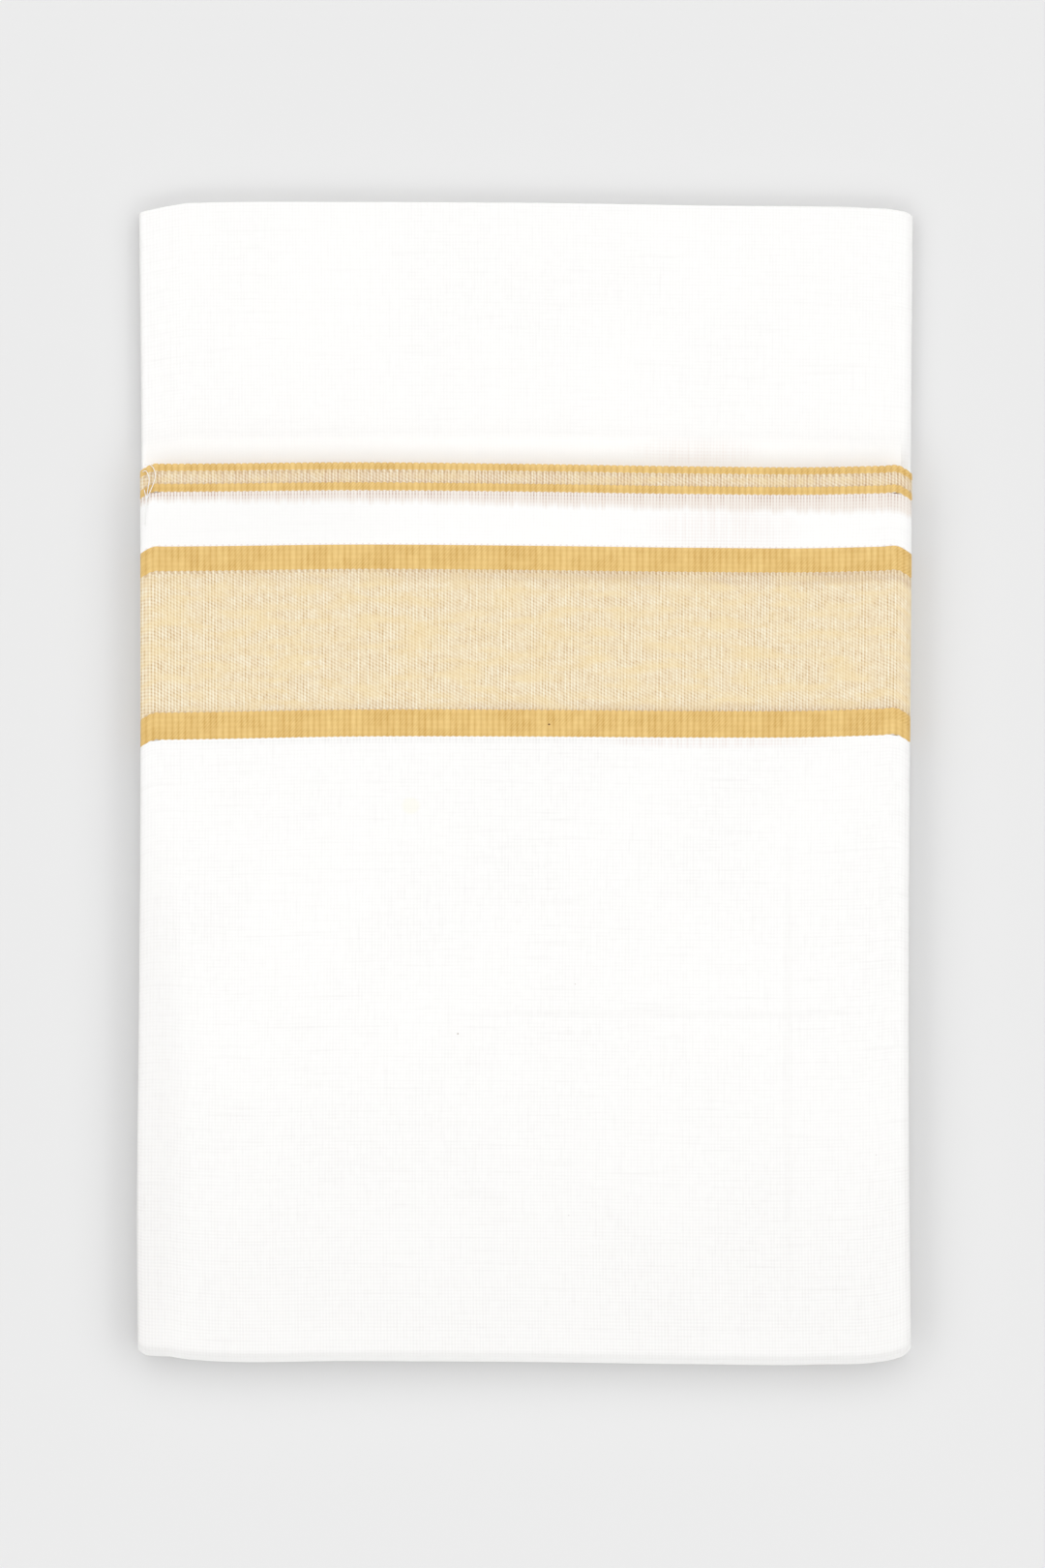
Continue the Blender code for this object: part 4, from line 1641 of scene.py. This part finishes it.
def tubes(centres: Grid, radius: Grid, sides: int) -> tuple[Grid, Grid]:
    """Round threads along lines of points.

    Each ring is a circle across the line's own direction: centre + radius (cos t, sin t) on two vectors at
    right angles to it. The ring at each end shrinks to a twentieth, so that the thread ends in a point.

    Args:
        centres: the lines, as threads x points x 3.
        radius: each thread's radius.
        sides: how many sides a ring has.

    Returns:
        The points, and the quads that join them.
    """
    ahead = np.gradient(centres, axis=1)
    ahead /= np.linalg.norm(ahead, axis=-1, keepdims=True)
    side = np.cross(ahead, NEARLY_UP)
    side /= np.linalg.norm(side, axis=-1, keepdims=True)
    up = np.cross(side, ahead)
    turn = np.linspace(0, TAU, sides, endpoint=False)
    ring = side[:, :, None] * np.cos(turn)[:, None] + up[:, :, None] * np.sin(turn)[:, None]
    taper = np.ones(centres.shape[1])
    taper[[0, -1]] = TIP_TAPER
    points = centres[:, :, None] + ring * (radius[:, None] * taper)[:, :, None, None]
    threads, rings = centres.shape[:2]
    index = np.arange(threads * rings * sides).reshape(threads, rings, sides)
    near, far = index[:, :-1], index[:, 1:]
    quads = np.stack([near, np.roll(near, -1, 2), np.roll(far, -1, 2), far], axis=-1).reshape(-1, 4)
    return points.reshape(-1, 3), quads


class ThreadPoint(NamedTuple):
    """A point of a loose thread, in millimetres across, down from the selvedge and above the cloth."""

    across: float
    down: float
    lift: float


CURL_ROUTES = (
    (
        ThreadPoint(across=-117.6, down=-0.7, lift=-0.30),
        ThreadPoint(across=-116.3, down=-0.2, lift=0.20),
        ThreadPoint(across=-115.0, down=1.4, lift=0.42),
        ThreadPoint(across=-114.4, down=3.6, lift=0.50),
        ThreadPoint(across=-115.0, down=6.2, lift=0.42),
        ThreadPoint(across=-116.6, down=9.2, lift=0.25),
        ThreadPoint(across=-117.4, down=10.6, lift=0.10),
    ),
    (
        ThreadPoint(across=-118.4, down=0.9, lift=-0.35),
        ThreadPoint(across=-117.4, down=1.2, lift=0.10),
        ThreadPoint(across=-116.7, down=2.6, lift=0.34),
        ThreadPoint(across=-116.3, down=4.4, lift=0.36),
        ThreadPoint(across=-116.6, down=6.6, lift=0.30),
        ThreadPoint(across=-117.0, down=8.8, lift=0.20),
        ThreadPoint(across=-117.2, down=11.0, lift=0.08),
    ),
    (
        ThreadPoint(across=-117.9, down=6.5, lift=-0.10),
        ThreadPoint(across=-117.5, down=8.5, lift=0.10),
        ThreadPoint(across=-117.2, down=10.6, lift=0.20),
        ThreadPoint(across=-117.5, down=12.8, lift=0.20),
        ThreadPoint(across=-117.9, down=15.0, lift=0.10),
        ThreadPoint(across=-117.9, down=16.6, lift=0.00),
        ThreadPoint(across=-117.6, down=17.6, lift=-0.10),
    ),
)


@dataclass(frozen=True)
class LooseThreads:
    """Thread ends: those that curl over the narrow border's left end, and the fray of the two raw ends.

    Attributes:
        radius, fray_radius: the threads' radii.
        curl_points, fray_points: the points along a thread.
        curl_sides, fray_sides: the sides of a thread.
        fray_spacing: from one frayed end to the next, on average.
        fray_top, fray_foot: how far the fray stays from the top edge and from the selvedge.
        fray_root: how far in from the raw end a frayed end begins.
        shortest_fray, longest_fray: how far it stands out.
        fray_curl, fray_drift: how far its tip may lift, and shift along the raw end.
        pattern_along, pattern_down: a place in the cloth's pattern that has no border and no mark.
        seed: the seed of the fray's draws.
    """

    radius: float = 0.12 * MM
    curl_points: int = 37
    fray_points: int = 6
    curl_sides: int = 8
    fray_sides: int = 5
    fray_radius: float = 0.08 * MM
    fray_spacing: float = 2.6 * MM
    fray_top: float = 4.0 * MM
    fray_foot: float = 9.0 * MM
    fray_root: float = 0.9 * MM
    shortest_fray: float = 0.5 * MM
    longest_fray: float = 1.5 * MM
    fray_curl: float = 0.16 * MM
    fray_drift: float = 0.7 * MM
    pattern_along: float = 2.0
    pattern_down: float = 1.0
    seed: int = 11

    def _threads(
        self, name: str, centres: Grid, radius: Grid, sides: int, material: bpy.types.Material
    ) -> None:
        """One piece of many threads.

        Args:
            name: the piece's name.
            centres: the threads' centre lines, as threads x points x 3.
            radius: each thread's radius.
            sides: how many sides a thread has.
            material: its finish.
        """
        points, quads = tubes(centres, radius, sides)
        cloth = points[:, :2] + np.array([self.pattern_along, self.pattern_down])
        piece = quad_object(name, points, quads, cloth, material)
        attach(piece, "root")
        log.info("%s: %d threads", name, len(centres))

    def build_curls(self, material: bpy.types.Material) -> None:
        """Three long ends over the border: cubic curves through listed points.

        Args:
            material: the yarn's finish.
        """
        routes = np.array(CURL_ROUTES) * MM
        last = routes.shape[1] - 1
        places = np.linspace(0, last, self.curl_points)
        left = np.clip(places.astype(int), 0, last - 1)
        slopes = np.gradient(routes, axis=1)
        t = (places - left)[None, :, None]
        strip = cubic(t, routes[:, left], routes[:, left + 1], slopes[:, left], slopes[:, left + 1])
        depth = PACKET.leaf + strip[..., 2] + self.radius
        centres = PACKET.bent(strip[..., 0], PACKET.flap_path(strip[..., 1]), depth)
        radius = np.full(len(centres), self.radius)
        self._threads("loose_thread_curls", centres, radius, self.curl_sides, material)

    def build_fray(self, panels: InnerPanels, material: bpy.types.Material) -> None:
        """Short ends along both raw ends, each leaving its ply and curling up or down by a parabola.

        Args:
            panels: the panels, for how far in their raw ends lie.
            material: the yarn's finish.
        """
        chance = np.random.default_rng(self.seed)
        length = PACKET.down(np.array(0.0))
        count = int(length / self.fray_spacing)
        t = np.linspace(0, 1, self.fray_points)
        lines = []
        for panel, inset in ((4, panels.raw_inset_first), (3, panels.raw_inset_last)):
            down = chance.uniform(self.fray_foot, length - self.fray_top, count)
            reach = chance.uniform(self.shortest_fray, self.longest_fray, count)
            curl = chance.uniform(-self.fray_curl, self.fray_curl, count)
            drift = chance.uniform(-self.fray_drift, self.fray_drift, count)
            root = -PACKET.width / 2 + inset + self.fray_root
            across = root - (reach[:, None] + self.fray_root) * t
            depth = STACK.level(panel) + curl[:, None] * t**2
            down = down[:, None] + drift[:, None] * t**2
            in_bend = 2 - (down - PACKET.flap) / PACKET.bend
            path = np.where(down <= PACKET.flap, PACKET.flap_path(down), in_bend)
            on_leaf = down > PACKET.flap + PACKET.bend
            path = np.where(on_leaf, 1 - (down - PACKET.flap - PACKET.bend) / PACKET.back, path)
            lines.append(PACKET.bent(across, path, depth))
        centres = np.concatenate(lines)
        radius = np.full(len(centres), self.fray_radius)
        self._threads("raw_end_fray", centres, radius, self.fray_sides, material)


@dataclass(frozen=True)
class Studio:
    """A plain pale floor, a soft white surround with a soft key light, and the camera.

    Attributes:
        surround: the light from everywhere.
        ring: the light of a ring round the sky, added to it.
        ring_lean: how much brighter the ring is beyond the packet's top edge, as a share.
        ring_low, ring_high, ring_soft: the heights it lies between, as sines, and the width of its edges.
        key, key_spread, key_tilt, key_turn: the lamp's strength, and its size and angles in degrees.
        floor_grey: the floor's grey as the camera should see it, from 0 to 255.
        floor_reach, floor_level: its half width and its height.
        view_height: the camera's height.
        field_height, focus_height: the length that fills the picture, at a height that is near the flap's.
        centre: the place below the camera.
    """

    surround: float = 0.325
    ring: float = 1.63
    ring_lean: float = 0.20
    ring_low: float = 0.34
    ring_high: float = 0.74
    ring_soft: float = 0.16
    key: float = 0.49
    key_spread: float = 50.0
    key_tilt: float = -12.0
    key_turn: float = 5.0
    floor_grey: int = 236
    floor_reach: float = 6.0
    floor_level: float = -0.03 * MM
    view_height: float = 2.0
    field_height: float = 481.6 * MM
    focus_height: float = 10.0 * MM
    centre: tuple[float, float] = (-0.95 * MM, -0.25 * MM)

    def build(self) -> None:
        """Makes the floor, the light and the camera."""
        scene = bpy.context.scene
        scene.view_settings.view_transform = "Standard"
        self._floor()
        self._light(scene)
        self._camera(scene)

    def _floor(self) -> None:
        """A flat pale floor just under the packet."""
        mesh = bpy.data.meshes.new("floor")
        reach, level = self.floor_reach, self.floor_level
        corners = [(x * reach, y * reach, level) for x, y in ((-1, -1), (1, -1), (1, 1), (-1, 1))]
        mesh.from_pydata(corners, [], [(0, 1, 2, 3)])
        material = bpy.data.materials.new("floor_paper")
        material.use_nodes = True
        shader = material.node_tree.nodes["Principled BSDF"]
        shader.inputs["Base Color"].default_value = (*dyed(*(self.floor_grey,) * 3), 1.0)
        shader.inputs["Roughness"].default_value = 0.95
        shader.inputs["Specular IOR Level"].default_value = 0.0
        mesh.materials.append(material)
        floor = bpy.data.objects.new("floor", mesh)
        bpy.context.scene.collection.objects.link(floor)

    def _light(self, scene: bpy.types.Scene) -> None:
        """A white surround, a bright ring that leans to the top edge, and a broad lamp almost overhead.

        Args:
            scene: the scene to light.
        """
        world = bpy.data.worlds.new("surround")
        world.use_nodes = True
        tree = world.node_tree
        background = tree.nodes["Background"]
        background.inputs["Color"].default_value = (1.0, 1.0, 1.0, 1.0)
        towards = tree.nodes.new("ShaderNodeTexCoord")
        parts = tree.nodes.new("ShaderNodeSeparateXYZ")
        tree.links.new(towards.outputs["Generated"], parts.inputs[0])
        band = Field(tree, parts.outputs["Z"]).between(self.ring_low, self.ring_high, self.ring_soft)
        ring = band * self.ring
        strength = (Field(tree, parts.outputs["Y"]) * self.ring_lean + 1.0) * ring + self.surround
        tree.links.new(strength.socket, background.inputs["Strength"])
        scene.world = world
        lamp = bpy.data.lights.new("key", "SUN")
        lamp.energy = self.key
        lamp.angle = np.radians(self.key_spread)
        lamp_object = bpy.data.objects.new("key", lamp)
        lamp_object.rotation_euler = (np.radians(self.key_tilt), np.radians(self.key_turn), 0.0)
        scene.collection.objects.link(lamp_object)

    def _camera(self, scene: bpy.types.Scene) -> None:
        """A long lens straight above the packet, its picture's top towards +Y.

        Args:
            scene: the scene to look at.
        """
        camera = bpy.data.cameras.new("camera")
        camera.sensor_fit = "VERTICAL"
        camera.sensor_height = 36.0
        distance = self.view_height - self.focus_height
        camera.lens = camera.sensor_height * distance / self.field_height
        camera.clip_end = 50.0
        camera_object = bpy.data.objects.new("camera", camera)
        camera_object.location = (*self.centre, self.view_height)
        scene.collection.objects.link(camera_object)
        scene.camera = camera_object


def main() -> None:
    """Builds the packet's sheets and threads and the studio, in order."""
    logging.basicConfig(level=logging.INFO, format="%(name)s: %(message)s")
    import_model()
    Studio().build()

    wide = WovenBorder("wide_border_weave", WIDE_STRIPES, brown_lines=0.05, marks=BORDER_MARKS)
    narrow = WovenBorder("narrow_border_weave", NARROW_STRIPES, brown_lines=0.62)
    outer = OuterPanel()
    outer.build_back(WhiteCotton("cotton_back", marks=FOLD_MARKS))
    outer.build_flap(WhiteCotton("cotton_flap", strength=0.14, marks=FLAP_MARKS))
    outer.build_wide_border(wide)
    gap = WhiteCotton("cotton_gap", strength=0.07, marks=GAP_MARKS, open_rows=True)
    outer.build_selvedge(gap, narrow)

    panels = InnerPanels()
    panels.build_top(LayeredCotton("cotton_top", (wide, narrow), LEAF_MARKS))
    panels.build_hidden(LayeredCotton("cotton_hidden", (wide, narrow)))

    threads = LooseThreads()
    yarn = WhiteCotton("cotton_yarn", strength=0.15).material()
    threads.build_curls(yarn)
    threads.build_fray(panels, yarn)


if __name__ == "__main__":
    main()
